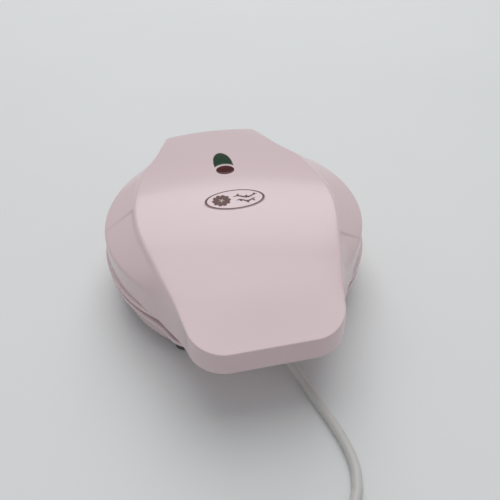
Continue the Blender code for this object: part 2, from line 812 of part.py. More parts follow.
def add_hinge(model):
    """Arms of the base, lugs of the lid, two pins and the sleeve of the lamp's leads."""
    pin_hole = model.cutter("pin_hole", mesh_from("pin_hole", lambda work: add_rod(
        work, (-0.060, HINGE_Y, HINGE_Z), (0.060, HINGE_Y, HINGE_Z), PIN_RADIUS + GAP)))
    for name, side in (("hinge_arm_left", -1), ("hinge_arm_right", 1)):
        ends = sorted((side * ARM_INNER, side * (ARM_INNER + ARM_WIDTH)))
        arm = model.add(name, extruded(ear_outline(), "X", *ends), "pink")
        combine(arm, pin_hole, "DIFFERENCE")

    plate_low = LID_BOTTOM + 0.0015
    plate_top = plate_low + 0.0022
    lug_outer = ARM_INNER - GAP
    lug_inner = lug_outer - LUG_WIDTH
    rear = REAR_REACH - LID_WALL - 0.0012
    rows = [0.112 + (rear - 0.112) * k / 3 for k in range(4)]
    hinge = model.add("lid_hinge", closing_plate(
        rows, lambda y: wing_half(y) - LID_WALL - 0.0016, lambda y: plate_low, 0.0022),
        "pink", on_lid=True)

    def lugs(work):
        for side in (-1, 1):
            ends = sorted((side * lug_inner, side * lug_outer))
            piece = extruded(lug_outline(plate_top - 0.0008), "X", *ends)
            work.from_mesh(piece)
            bpy.data.meshes.remove(piece)
    combine(hinge, model.cutter("lugs", mesh_from("lugs", lugs), True), "UNION")
    lid_hole = model.cutter("lid_pin_hole", mesh_from("lid_pin_hole", lambda work: add_rod(
        work, (-0.060, HINGE_Y, HINGE_Z), (0.060, HINGE_Y, HINGE_Z), PIN_RADIUS + GAP)), True)
    combine(hinge, lid_hole, "DIFFERENCE")
    slot = model.cutter("sleeve_slot", mesh_from("sleeve_slot", lambda work: add_rod(
        work, (SLEEVE_HOLE_X, HINGE_Y, LID_BOTTOM - 0.002),
        (SLEEVE_HOLE_X, HINGE_Y, LID_BOTTOM + 0.010),
        SLEEVE_RADIUS + GAP)), True)
    combine(hinge, slot, "DIFFERENCE")

    for name, side in (("hinge_pin_left", -1), ("hinge_pin_right", 1)):
        model.add(name, mesh_from(name, lambda work, side=side: add_rod(
            work, (side * (lug_inner - 0.002), HINGE_Y, HINGE_Z),
            (side * (ARM_INNER + ARM_WIDTH + 0.001), HINGE_Y, HINGE_Z), PIN_RADIUS)), "steel")

    bend = 0.006
    lower = [(-SLEEVE_HOLE_X, BASE_REAR - 0.006, HINGE_Z), (-SLEEVE_HOLE_X, HINGE_Y - bend, HINGE_Z)]
    lower += [(-SLEEVE_HOLE_X + bend - x, HINGE_Y - bend + y, HINGE_Z) for x, y in
              arc((0.0, 0.0), bend, 0.0, math.pi / 2, 4)[1:]]
    lower.append((-GAP / 2, HINGE_Y, HINGE_Z))
    add_tube(model, "lead_sleeve_base", lower, SLEEVE_RADIUS, "rubber")
    upper = [(GAP / 2, HINGE_Y, HINGE_Z)]
    upper += [(SLEEVE_HOLE_X - bend + x, HINGE_Y, HINGE_Z + bend - y) for y, x in
              arc((0.0, 0.0), bend, 0.0, math.pi / 2, 4)]
    upper.append((SLEEVE_HOLE_X, HINGE_Y, LID_BOTTOM + 0.008))
    add_tube(model, "lead_sleeve_lid", upper, SLEEVE_RADIUS, "rubber", on_lid=True)


# ---------------------------------------------------------------- plates and heating
def add_plate(model, name, on_lid, face, up):
    """Cast waffle plate. face is the height of its flange's contact face, up the way it opens."""
    def level(depth):
        return face - up * depth
    floor = level(CAVITY_DEPTH)
    outline = [
        (PLATE_RADIUS, level(0.0)),
        (PLATE_RADIUS, level(PLATE_FLANGE)),
        (PAN_RADIUS, level(PLATE_FLANGE)),
        (PAN_RADIUS - 0.0015, level(CAVITY_DEPTH + PAN_WALL)),
        (0.0, level(CAVITY_DEPTH + PAN_WALL)),
        (0.0, floor),
        (PAN_RADIUS - PAN_WALL - 0.0025, floor),
        (PAN_RADIUS - PAN_WALL, level(0.0)),
    ]
    if up < 0:
        outline = list(reversed(outline))
        outline = outline[3:] + outline[:3]
    else:
        outline = outline[5:] + outline[:5]
    plate = add_turned(model, name, outline, "coating", on_lid, FINE_ROUND, False)

    inner = PAN_RADIUS - PAN_WALL - 0.0045
    ridge_levels = sorted((floor - up * 0.001, floor + up * RIDGE_HEIGHT))
    divider_levels = sorted((floor - up * 0.001, floor + up * DIVIDER_HEIGHT))
    count = int(inner / RIDGE_PITCH)

    def ridges(work):
        for k in range(-count, count + 1):
            across = k * RIDGE_PITCH
            half = circle_half(inner, across)
            for turned_bar in (False, True):
                low, high = (-half, across - RIDGE_WIDTH / 2), (half, across + RIDGE_WIDTH / 2)
                if turned_bar:
                    low, high = low[::-1], high[::-1]
                add_box(work, (*low, ridge_levels[0]), (*high, ridge_levels[1]))

    def dividers(work):
        for k in range(HEARTS):
            turn = -math.pi / 2 + math.tau * k / HEARTS
            made = add_box(work, (0.0, -DIVIDER_WIDTH / 2, divider_levels[0]),
                           (inner + 0.002, DIVIDER_WIDTH / 2, divider_levels[1]))
            bmesh.ops.rotate(work, verts=made, cent=(0, 0, 0),
                             matrix=Vector((1, 0, 0)).rotation_difference(
                                 Vector((math.cos(turn), math.sin(turn), 0))).to_matrix())
        add_rod(work, (0, 0, divider_levels[0]), (0, 0, divider_levels[1]), HUB_RADIUS)

    combine(plate, model.cutter(name + "_ridges", mesh_from("ridges", ridges), on_lid), "UNION")
    combine(plate, model.cutter(name + "_dividers", mesh_from("dividers", dividers), on_lid), "UNION")
    return level(CAVITY_DEPTH + PAN_WALL)


def add_heating(model, side, on_lid, back, up):
    """Element, heat shield and screws behind a plate whose back is at height back."""
    centre = back - up * (GAP + ELEMENT_RADIUS)
    sweep = math.tau - ELEMENT_OPENING
    start = -math.pi / 2 + ELEMENT_OPENING / 2
    ring = arc((0.0, 0.0), ELEMENT_RING, start, start + sweep, 32)
    points = [(x, y, centre) for x, y in ring]
    ends = [(points[0][0] * 1.2, points[0][1] * 1.2, centre - up * 0.001),
            (points[-1][0] * 1.2, points[-1][1] * 1.2, centre - up * 0.001)]
    add_tube(model, side + "_element", [ends[0], *points, ends[1]], ELEMENT_RADIUS, "steel", on_lid)

    floor = centre - up * (ELEMENT_RADIUS + REFLECTOR_GAP)
    rim = floor + up * REFLECTOR_WALL
    shield = [
        (REFLECTOR_RADIUS + REFLECTOR_SHEET, rim),
        (REFLECTOR_RADIUS + REFLECTOR_SHEET, floor - up * REFLECTOR_SHEET),
        (REFLECTOR_HOLE, floor - up * REFLECTOR_SHEET),
        (REFLECTOR_HOLE, floor),
        (REFLECTOR_RADIUS, floor),
        (REFLECTOR_RADIUS, rim),
    ]
    if up < 0:
        shield = list(reversed(shield))
    add_turned(model, side + "_reflector", shield, "bright_sheet", on_lid, ROUND)

    for k in range(3):
        turn = math.radians(30 + 120 * k)
        place = (PLATE_SCREW_RING * math.cos(turn), PLATE_SCREW_RING * math.sin(turn),
                 floor + up * (GAP + SCREW_HEAD_HEIGHT))
        add_screw(model, f"{side}_plate_screw_{k + 1}", place, Vector((0, 0, up)),
                  abs(back - floor) - SCREW_HEAD_HEIGHT - 3 * GAP, on_lid)


def add_controls(model, back):
    """Thermostat and thermal fuse against the lower plate."""
    top = back - GAP
    profile = [
        (0.0, top),
        (THERMOSTAT_RADIUS, top),
        (THERMOSTAT_RADIUS, top - THERMOSTAT_HEIGHT * 0.6),
        (THERMOSTAT_RADIUS * 0.7, top - THERMOSTAT_HEIGHT),
        (0.0, top - THERMOSTAT_HEIGHT),
    ]
    add_turned(model, "thermostat", profile, "ceramic", segments=20, closed=False)
    fuse = top - 0.0022
    model.add("thermal_fuse", mesh_from("thermal_fuse", lambda work: add_rod(
        work, (0.016, 0.038, fuse), (0.032, 0.030, fuse), 0.0020)), "nickel")


# ---------------------------------------------------------------- base
def base_half(y):
    """Half width of the base at its upper edge: round in front, as wide as the lid behind."""
    if y < 0.0:
        return circle_half(wing_half(0.0) - BASE_INSET, y)
    return wing_half(y) - BASE_INSET


def lip_half(y):
    """Half width of the base's lip, which spreads a little under the handle's neck."""
    ring = circle_half(LIP_RADIUS, y)
    if y < 0.0:
        return soft_max(ring, band_half(y) + LIP_NECK, LIP_BLEND)
    return soft_max(ring, base_half(y), LIP_REAR_BLEND)


def base_stations(half, front_reach, front_corner):
    """Stations round an outline of the base, from the front by +X, with true normals."""
    rows = [-front_reach * math.cos(math.pi / 2 * k / 15) for k in range(16)]
    rows += [y for y in side_rows(0.0, BASE_REAR, 0.0, BASE_REAR_CORNER, 12) if y > 0.0]
    side = []
    for y in rows:
        inset = (corner_inset(y + front_reach, front_corner)
                 + corner_inset(BASE_REAR - y, BASE_REAR_CORNER))
        side.append(Station(half(y) - inset, y, 1, 0))

    columns = 12
    front = []
    for k in range(columns + 1):
        x = side[0].x * (2 * k / columns - 1)
        front.append(Station(x, -front_reach, 0, -1))
    rear = [Station(side[-1].x * (1 - 2 * k / 6), BASE_REAR, 0, 1) for k in range(7)]
    left = [Station(-s.x, s.y, -s.out.x, s.out.y) for s in reversed(side)]
    loop = front + side[1:-1] + rear + left[1:-1]
    for k, station in enumerate(loop):
        before, after = loop[k - 1], loop[(k + 1) % len(loop)]
        station.out = Vector((after.y - before.y, before.x - after.x)).normalized()
    return loop


def base_shell_mesh(stations):
    """Open outer surface of the base: seat for the plate, upper face and wall."""
    def round_ring(radius, height):
        ring = []
        for station in stations:
            turn = math.atan2(station.y, station.x)
            ring.append((radius * math.cos(turn), radius * math.sin(turn), height))
        return ring
    seat = PARTING - PLATE_FLANGE - GAP
    edge = PLATE_RADIUS + GAP
    rings = [
        round_ring(edge - SEAT_WIDTH, seat),
        round_ring(edge, seat),
        round_ring(edge, BASE_TOP - 0.0003),
        [station.offset(-0.0025, BASE_TOP) for station in stations],
        [station.offset(-0.0007, BASE_TOP - 0.0008) for station in stations],
        [station.offset(0.0, BASE_TOP - 0.003) for station in stations],
        [station.offset(-BASE_DRAFT, BASE_BOTTOM) for station in stations],
    ]

    def build(work):
        previous = [work.verts.new(point) for point in rings[0]]
        for ring in rings[1:]:
            current = [work.verts.new(point) for point in ring]
            for k in range(len(ring)):
                after = (k + 1) % len(ring)
                work.faces.new((previous[k], current[k], current[after], previous[after]))
            previous = current
    return mesh_from("base_shell", build)


def add_base(model):
    """Base shell, its bottom cover, the cover's screws and four feet."""
    stations = base_stations(base_half, BASE_FRONT, BASE_CORNER)
    shell = model.add("base_shell", base_shell_mesh(stations), "pink")
    solidify(shell, BASE_WALL)
    lip_top = BASE_TOP - LIP_SINK
    lip_line = [(s.x, s.y) for s in base_stations(lip_half, LIP_FRONT, LIP_CORNER)]
    lip = model.cutter("lip", extruded(lip_line, "Z", lip_top - LIP_HEIGHT, lip_top))
    wall_line = [station.offset(-LIP_HOLD, 0.0)[:2] for station in stations]
    combine(lip, model.cutter("lip_inside", extruded(
        wall_line, "Z", lip_top - 2 * LIP_HEIGHT, lip_top + LIP_HEIGHT)), "DIFFERENCE")
    combine(shell, lip, "UNION")
    wall_y = -BASE_FRONT + NICHE_DEPTH
    low = (EXIT_X - NICHE_HALF, -BASE_FRONT - 0.010, BASE_BOTTOM - 0.004)
    high = (EXIT_X + NICHE_HALF, wall_y, NICHE_TOP)

    def grown(by, bottom):
        return mesh_from("niche_block", lambda work: add_box(
            work, (low[0] - by, -BASE_FRONT + BASE_DRAFT + 0.0008, bottom),
            (high[0] + by, high[1] + by, high[2] + by)))
    block = model.cutter("niche_block", grown(BASE_WALL, BASE_BOTTOM))
    combine(shell, block, "UNION")
    niche = mesh_from("niche", lambda work: add_box(work, low, high))
    combine(shell, model.cutter("niche", niche), "DIFFERENCE")
    holes = mesh_from("lead_holes", lambda work: (
        add_rod(work, (EXIT_X, wall_y - 0.006, EXIT_HEIGHT), (EXIT_X, wall_y + 0.007, EXIT_HEIGHT),
                BOOT_ROOT + GAP),
        add_rod(work, (-SLEEVE_HOLE_X, BASE_REAR - 0.008, HINGE_Z),
                (-SLEEVE_HOLE_X, BASE_REAR + 0.006, HINGE_Z),
                SLEEVE_RADIUS + GAP)))
    combine(shell, model.cutter("lead_holes", holes), "DIFFERENCE")

    inset = BASE_DRAFT + BASE_WALL + GAP
    outline = [station.offset(-inset, 0.0)[:2] for station in stations]
    cover_low = BASE_BOTTOM
    cover = model.add("bottom_cover", extruded(
        outline, "Z", cover_low, cover_low + COVER_THICKNESS), "pink")
    places = [(side * x, y) for x, y in COVER_SCREWS for side in (-1, 1)]
    holes = mesh_from("cover_holes", lambda work: [
        add_rod(work, (x, y, cover_low - 0.001), (x, y, cover_low + 0.004), SCREW_RADIUS + GAP)
        for x, y in places])
    combine(cover, model.cutter("cover_holes", holes), "DIFFERENCE")
    around = model.cutter("niche_surround", grown(BASE_WALL + GAP, BASE_BOTTOM - 0.002))
    combine(cover, around, "DIFFERENCE")

    def vents(work):
        for side in (-1, 1):
            for k in range(5):
                x = side * (0.012 + 0.008 * k)
                add_box(work, (x - 0.0015, -0.018, cover_low - 0.001),
                        (x + 0.0015, 0.018, cover_low + 0.004))
    combine(cover, model.cutter("vent_slots", mesh_from("vent_slots", vents)), "DIFFERENCE")
    for k, (x, y) in enumerate(places):
        add_screw(model, f"cover_screw_{k + 1}", (x, y, cover_low - GAP), Vector((0, 0, 1)),
                  COVER_SCREW_LENGTH)

    foot_top = cover_low - GAP
    profile = [
        (0.0, foot_top),
        (FOOT_RADIUS - 0.0015, foot_top),
        (FOOT_RADIUS, 0.0022),
        (FOOT_RADIUS - 0.001, 0.0),
        (0.0, 0.0),
    ]
    feet = [("foot_front", FRONT_FEET), ("foot_rear", REAR_FEET)]
    for name, (x, y) in feet:
        for ending, side in (("_left", -1), ("_right", 1)):
            add_turned(model, name + ending, profile, "rubber", segments=16, closed=False,
                       place=(side * x, y, 0.0))


def add_wiring(model):
    """Terminal block and the clamp that holds the lead inside the base."""
    floor = BASE_BOTTOM + COVER_THICKNESS + GAP
    model.add("terminal_block", mesh_from("terminal_block", lambda work: add_box(
        work, (-0.034, -0.0930, floor), (-0.012, -0.0860, floor + 0.010))), "ceramic")
    clamp_y = CORD_ROUTE[0][1]
    low, high = (EXIT_X - 0.009, clamp_y + 0.0012, floor), (EXIT_X + 0.009, clamp_y + 0.0042, 0.021)
    model.add("cord_clamp", mesh_from("cord_clamp", lambda work: add_box(work, low, high)), "ceramic")


# ---------------------------------------------------------------- mains lead
def smooth_route(points, spacing):
    """Points a set distance apart on the smooth curve through the route."""
    points = [Vector(point) for point in points]
    ends = [2 * points[0] - points[1], *points, 2 * points[-1] - points[-2]]
    dense = []
    for a, b, c, d in zip(ends, ends[1:], ends[2:], ends[3:]):
        for k in range(20):
            t = k / 20
            dense.append(0.5 * (2 * b + (c - a) * t + (2 * a - 5 * b + 4 * c - d) * t ** 2
                                + (3 * b - a - 3 * c + d) * t ** 3))
    dense.append(points[-1])
    lengths = [0.0]
    for a, b in zip(dense, dense[1:]):
        lengths.append(lengths[-1] + (b - a).length)
    count = max(2, round(lengths[-1] / spacing))
    picked, index = [], 0
    for k in range(count + 1):
        target = lengths[-1] * k / count
        while index < len(lengths) - 2 and lengths[index + 1] < target:
            index += 1
        share = (target - lengths[index]) / (lengths[index + 1] - lengths[index])
        picked.append(dense[index].lerp(dense[index + 1], share))
    return picked


def tangent_point(radius, turn, back):
    """Point a distance back along the tangent of the coil's circle at turn."""
    spot = COIL_CENTRE + radius * Vector((math.cos(turn), math.sin(turn), 0.0))
    return spot - back * Vector((-math.sin(turn), math.cos(turn), 0.0))


def add_cord(model):
    """Strain relief, lead, coil with its tie, tail and plug."""
    boot = smooth_route(CORD_ROUTE[:BOOT_POINTS], 0.0045)
    add_tube(model, "strain_relief", boot, BOOT_ROOT, "white_pvc", resolution=4,
             taper=BOOT_TIP / BOOT_ROOT)

    coil_outer = COIL_RADIUS + COIL_SHIFT + CORD_RADIUS
    coil_inner = COIL_RADIUS - COIL_SHIFT - CORD_RADIUS
    coil_top = CORD_REST + 0.0060 + CORD_RADIUS + 0.0004
    reach = coil_outer + CORD_RADIUS + GAP
    outer_turn = COIL_RADIUS + COIL_SHIFT
    back = math.sqrt(reach ** 2 - outer_turn ** 2) + 0.0006
    arrival = tangent_point(outer_turn, COIL_ARRIVAL, back)
    arrival.z = CORD_REST
    way = [*CORD_ROUTE[BOOT_POINTS - 1:], tuple(arrival)]
    lead = smooth_route(way, 0.012)
    start = lead[0] + (lead[1] - lead[0]).normalized() * GAP
    add_tube(model, "cord_lead", [start, *lead[1:]], CORD_RADIUS, "white_pvc", resolution=3)

    ring = [
        (coil_outer - 0.002, coil_top - 0.003),
        (coil_outer, CORD_RADIUS * 1.4),
        (coil_outer, CORD_RADIUS * 0.6),
        (coil_outer - 0.002, 0.0001),
        (coil_inner + 0.002, 0.0001),
        (coil_inner, CORD_RADIUS * 0.6),
        (coil_inner, CORD_RADIUS * 1.4),
        (COIL_RADIUS - 0.0036, coil_top - 0.001),
        (COIL_RADIUS, coil_top),
    ]
    add_turned(model, "cord_coil", ring, "white_pvc", segments=32, place=COIL_CENTRE)

    leave = math.sqrt(reach ** 2 - COIL_RADIUS ** 2) + 0.0006
    begin = tangent_point(COIL_RADIUS, COIL_LEAVE, -leave)
    heading = Vector((-math.sin(COIL_LEAVE), math.cos(COIL_LEAVE), 0.0))
    begin.z = TAIL_HEIGHT
    finish = begin + TAIL_LENGTH * heading
    add_tube(model, "cord_tail", [begin, (begin + finish) / 2, finish], CORD_RADIUS,
             "white_pvc", resolution=3)
    add_plug(model, finish + 3 * GAP * heading, heading)


def add_plug(model, start, heading):
    """Round moulded plug that lies on the rim of its head, with its two pins."""
    body = PLUG_BOOT + PLUG_GRIP + PLUG_HEAD
    tilt = math.asin((PLUG_RADIUS * 0.99 - TAIL_HEIGHT) / (PLUG_BOOT + PLUG_GRIP + 0.004))
    axis = Vector((heading.x * math.cos(tilt), heading.y * math.cos(tilt), math.sin(tilt)))
    grip, head = PLUG_BOOT, PLUG_BOOT + PLUG_GRIP
    profile = [
        (0.0, body),
        (PLUG_RADIUS - 0.001, body),
        (PLUG_RADIUS, body - 0.001),
        (PLUG_RADIUS, head + 0.004),
        (PLUG_RADIUS - 0.002, head),
        (0.0125, grip + 0.014),
        (0.0105, grip + 0.004),
        (0.0075, grip),
        (0.0052, 0.0),
        (0.0, 0.0),
    ]
    add_turned(model, "plug_body", profile, "white_pvc", segments=28, closed=False,
               place=start, direction=axis)
    side = axis.cross(Vector((0, 0, 1))).normalized()
    face = start + axis * (body + GAP)
    for name, way in (("plug_pin_left", 1), ("plug_pin_right", -1)):
        foot = face + side * PLUG_PIN_SPREAD * way
        model.add(name, mesh_from(name, lambda work, foot=foot: add_rod(
            work, foot, foot + axis * PLUG_PIN_LENGTH, PLUG_PIN_RADIUS)), "nickel")


def main():
    """Build every piece of the waffle maker."""
    model = Model()
    add_lid(model)
    add_lamps(model)
    add_badge(model)
    add_lid_frame(model)
    add_handle_cover(model)
    add_hinge(model)
    lower_back = add_plate(model, "lower_plate", False, PARTING, 1)
    upper_back = add_plate(model, "upper_plate", True, PARTING + PLATE_GAP, -1)
    add_heating(model, "lower", False, lower_back, 1)
    add_heating(model, "upper", True, upper_back, -1)
    add_controls(model, lower_back)
    add_base(model)
    add_wiring(model)
    add_cord(model)


main()
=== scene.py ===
"""Looks of a waffle maker for five hearts, built round its packed frame."""

import json
import logging
import math
from collections.abc import Callable
from dataclasses import dataclass, field
from enum import Enum

import bmesh
import bpy
from mathutils import Matrix, Vector

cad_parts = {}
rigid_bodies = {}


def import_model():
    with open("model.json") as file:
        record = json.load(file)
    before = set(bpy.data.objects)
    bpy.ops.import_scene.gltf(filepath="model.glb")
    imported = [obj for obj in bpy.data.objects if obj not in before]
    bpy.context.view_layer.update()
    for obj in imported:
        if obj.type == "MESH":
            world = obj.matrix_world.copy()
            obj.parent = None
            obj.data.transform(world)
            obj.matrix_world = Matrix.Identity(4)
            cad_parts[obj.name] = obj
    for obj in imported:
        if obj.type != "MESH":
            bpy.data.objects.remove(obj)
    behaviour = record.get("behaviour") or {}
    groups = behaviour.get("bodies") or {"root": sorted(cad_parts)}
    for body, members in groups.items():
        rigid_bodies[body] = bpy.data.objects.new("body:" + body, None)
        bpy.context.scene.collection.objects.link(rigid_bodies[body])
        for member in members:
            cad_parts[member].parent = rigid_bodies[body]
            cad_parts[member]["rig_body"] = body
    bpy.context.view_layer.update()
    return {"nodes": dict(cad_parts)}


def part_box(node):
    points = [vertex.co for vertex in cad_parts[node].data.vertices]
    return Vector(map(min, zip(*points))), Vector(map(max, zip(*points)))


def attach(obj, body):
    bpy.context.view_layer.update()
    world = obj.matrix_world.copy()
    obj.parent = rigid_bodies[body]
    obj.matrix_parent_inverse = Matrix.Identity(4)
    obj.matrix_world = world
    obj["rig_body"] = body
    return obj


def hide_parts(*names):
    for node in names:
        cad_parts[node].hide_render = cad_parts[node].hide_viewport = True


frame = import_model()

log = logging.getLogger("waffle_maker")

MM = 0.001
RIM_LOW, RIM_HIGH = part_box("lid_frame")
CENTRE = Vector((0.0, (RIM_LOW.y + RIM_HIGH.y) / 2, 0.0))


# ---------------------------------------------------------------- numbers and curves
def smoothstep(value: float) -> float:
    """Ease from 0 to 1 as value runs from 0 to 1."""
    value = min(max(value, 0.0), 1.0)
    return value * value * (3.0 - 2.0 * value)


def mix(a: float, b: float, share: float) -> float:
    """Value a share of the way from a to b."""
    return a + (b - a) * share


def soft_max(a: float, b: float, width: float) -> float:
    """Larger of two lengths, with the change-over spread over width."""
    high = max(a, b)
    return high + width * math.log(math.exp((a - high) / width) + math.exp((b - high) / width))


def through(points: list, where: float) -> float:
    """Height of a smooth curve through (position, value) points.

    Args:
        points: Positions in rising order, each with its value.
        where: Position to read.

    Returns:
        The value there; outside the points, that of the nearest end.
    """
    last = len(points) - 2
    index = max(0, min(last, sum(1 for point in points[1:] if point[0] < where)))
    (x0, v0), (x1, v1) = points[index], points[index + 1]

    def slope(k: int) -> float:
        """Slope of the curve at point k."""
        low, high = max(k - 1, 0), min(k + 1, last + 1)
        return (points[high][1] - points[low][1]) / (points[high][0] - points[low][0])

    span = x1 - x0
    t = min(max((where - x0) / span, 0.0), 1.0)
    s0, s1 = slope(index) * span, slope(index + 1) * span
    return (v0 * (2 * t ** 3 - 3 * t ** 2 + 1) + s0 * (t ** 3 - 2 * t ** 2 + t)
            + v1 * (3 * t ** 2 - 2 * t ** 3) + s1 * (t ** 3 - t ** 2))


def arc(centre: tuple, radius: float, start: float, end: float, count: int) -> list:
    """Points along a flat arc, both ends included."""
    return [(centre[0] + radius * math.cos(mix(start, end, k / count)),
             centre[1] + radius * math.sin(mix(start, end, k / count)))
            for k in range(count + 1)]


def softened(points: list, reaches: list, count: int) -> list:
    """Polyline with each inner corner turned into a curve.

    Args:
        points: Corners of the line, as pairs.
        reaches: For each inner corner, how far its curve reaches along both sides.
        count: Steps in each curve.

    Returns:
        The line's points, always the same number of them.
    """
    corners = [Vector(point) for point in points]
    made = [corners[0]]
    for before, corner, after, reach in zip(corners, corners[1:], corners[2:], reaches):
        back, ahead = before - corner, after - corner
        near = min(reach, 0.48 * back.length)
        far = min(reach, 0.48 * ahead.length)
        start = corner + back.normalized() * near if back.length > 1e-9 else corner
        end = corner + ahead.normalized() * far if ahead.length > 1e-9 else corner
        for k in range(count + 1):
            t = k / count
            made.append(start.lerp(corner, t).lerp(corner.lerp(end, t), t))
    made.append(corners[-1])
    return made


# ---------------------------------------------------------------- meshes
@dataclass
class MeshDraft:
    """Points and faces of a mesh that is being put together, in the body's own frame."""

    points: list = field(default_factory=list)
    faces: list = field(default_factory=list)

    def add_ring(self, ring: list) -> list:
        """Add points and return their numbers."""
        start = len(self.points)
        self.points += [tuple(point) for point in ring]
        return list(range(start, len(self.points)))

    def bridge(self, low: list, high: list, closed: bool = True) -> None:
        """Join two rings of equal length with four-sided faces."""
        count = len(low)
        for k in range(count if closed else count - 1):
            after = (k + 1) % count
            self.faces.append((low[k], low[after], high[after], high[k]))

    def cap(self, ring: list, flip: bool = False) -> None:
        """Close a ring with one flat face."""
        self.faces.append(tuple(reversed(ring)) if flip else tuple(ring))

    def turn(self, profile: list, steps: int, closed: bool = False) -> None:
        """Turn (radius, height) points about the Z axis; they run down the outer side.

        Args:
            profile: Points of the section; a radius of 0 makes a pole.
            steps: Number of steps round the axis.
            closed: Whether the section's last point joins its first.
        """
        rows = []
        for radius, height in profile:
            if radius <= 0.0:
                rows.append(self.add_ring([(0.0, 0.0, height)]) * steps)
                continue
            rows.append(self.add_ring([
                (radius * math.cos(math.tau * k / steps), radius * math.sin(math.tau * k / steps),
                 height) for k in range(steps)]))
        pairs = list(zip(rows, rows[1:])) + ([(rows[-1], rows[0])] if closed else [])
        for high, low in pairs:
            for k in range(steps):
                after = (k + 1) % steps
                corners = [low[k], low[after], high[after], high[k]]
                self.faces.append(tuple(dict.fromkeys(corners)))

    def tube(self, path: list, radii: list, sides: int) -> None:
        """Round bar along a path, closed at both ends, with a radius for each point."""
        rings = []
        rise = Vector((0.0, 0.0, 1.0))
        for k, point in enumerate(path):
            ahead = path[min(k + 1, len(path) - 1)] - path[max(k - 1, 0)]
            side = ahead.cross(rise).normalized()
            up = side.cross(ahead).normalized()
            rings.append(self.add_ring([
                point + radii[k] * (math.cos(math.tau * n / sides) * side
                                    + math.sin(math.tau * n / sides) * up)
                for n in range(sides)]))
        for low, high in zip(rings, rings[1:]):
            self.bridge(low, high)
        self.cap(rings[0], flip=True)
        self.cap(rings[-1])

    def build(self, name: str, finish: "Finish", matrix: Matrix | None = None,
              crease_deg: float = 40.0) -> bpy.types.Object:
        """Make the object.

        Args:
            name: Name of the piece.
            finish: What it is made of.
            matrix: Where the draft goes in the body's own frame.
            crease_deg: Edges sharper than this stay sharp.

        Returns:
            The object, at the origin, with its place in its mesh.
        """
        data = bpy.data.meshes.new(name)
        data.from_pydata(self.points, [], self.faces)
        work = bmesh.new()
        work.from_mesh(data)
        bmesh.ops.remove_doubles(work, verts=work.verts, dist=1e-7)
        bmesh.ops.recalc_face_normals(work, faces=work.faces)
        work.to_mesh(data)
        work.free()
        if matrix is not None:
            data.transform(matrix)
        data.transform(Matrix.Translation(CENTRE))
        data.shade_smooth()
        data.set_sharp_from_angle(angle=math.radians(crease_deg))
        made = bpy.data.objects.new(name, data)
        bpy.context.scene.collection.objects.link(made)
        dress(made, finish)
        return made


def dress(piece: bpy.types.Object, finish: "Finish") -> None:
    """Give a piece one finish all over."""
    piece.data.materials.clear()
    piece.data.materials.append(finish.material())


def baked(piece: bpy.types.Object, crease_deg: float | None = None) -> bpy.types.Object:
    """Replace a piece's mesh by what its modifiers make of it, and drop the modifiers."""
    evaluated = piece.evaluated_get(bpy.context.evaluated_depsgraph_get())
    data = bpy.data.meshes.new_from_object(evaluated)
    piece.modifiers.clear()
    piece.data = data
    if crease_deg is not None:
        data.shade_smooth()
        data.set_sharp_from_angle(angle=math.radians(crease_deg))
    return piece


def walled(piece: bpy.types.Object, thickness: float) -> bpy.types.Object:
    """Give an open surface a wall on its inner side."""
    wall = piece.modifiers.new("wall", "SOLIDIFY")
    wall.thickness = thickness
    wall.offset = -1.0
    wall.use_even_offset = True
    wall.thickness_clamp = 0.0
    return baked(piece, 40.0)


def cut(piece: bpy.types.Object, tools: list, operation: str = "DIFFERENCE") -> bpy.types.Object:
    """Cut a piece with other meshes, or join them to it, and remove them."""
    for tool in tools:
        work = piece.modifiers.new("cut", "BOOLEAN")
        work.operation = operation
        work.solver = "EXACT"
        work.use_self = operation == "UNION"
        work.object = tool
    baked(piece, 40.0)
    for tool in tools:
        bpy.data.objects.remove(tool)
    return piece


def prism(name: str, outline: list, low: float, high: float, finish: "Finish") -> bpy.types.Object:
    """Upright solid over a flat outline."""
    draft = MeshDraft()
    base = draft.add_ring([(x, y, low) for x, y in outline])
    top = draft.add_ring([(x, y, high) for x, y in outline])
    draft.bridge(base, top)
    draft.cap(base, flip=True)
    draft.cap(top)
    return draft.build(name, finish)


def soft_copy(node: str, name: str, finish: "Finish", width: float = 0.5 * MM,
              segments: int = 2) -> bpy.types.Object:
    """Copy of a CAD node with its edges rounded, which stands for the node.

    Args:
        node: The CAD node.
        name: Name of the new piece.
        finish: What it is made of.
        width: Width of the rounded edges.
        segments: Steps in each rounded edge.

    Returns:
        The new piece, riding on the node's body.
    """
    source = frame["nodes"][node]
    data = source.data.copy()
    data.name = name
    work = bmesh.new()
    work.from_mesh(data)
    bmesh.ops.remove_doubles(work, verts=work.verts, dist=1e-6)
    bmesh.ops.dissolve_limit(work, angle_limit=math.radians(1.0), verts=work.verts,
                             edges=work.edges)
    work.to_mesh(data)
    work.free()
    made = bpy.data.objects.new(name, data)
    bpy.context.scene.collection.objects.link(made)
    dress(made, finish)
    edge = made.modifiers.new("edge", "BEVEL")
    edge.width = width
    edge.segments = segments
    edge.limit_method = "ANGLE"
    edge.angle_limit = math.radians(35)
    edge.harden_normals = False
    baked(made, 35.0)
    return settle(made, source["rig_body"], node)


def settle(piece: bpy.types.Object, body: str, *nodes: str, slot: str = "") -> bpy.types.Object:
    """Let a piece ride on a body and stand for CAD nodes.

    Args:
        piece: The finished piece.
        body: Body it moves with.
        nodes: CAD nodes it stands for.
        slot: Not used.

    Returns:
        The piece.
    """
    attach(piece, body)
    if nodes:
        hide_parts(*nodes)
    log.info("%s rides on %s", piece.name, body)
    return piece


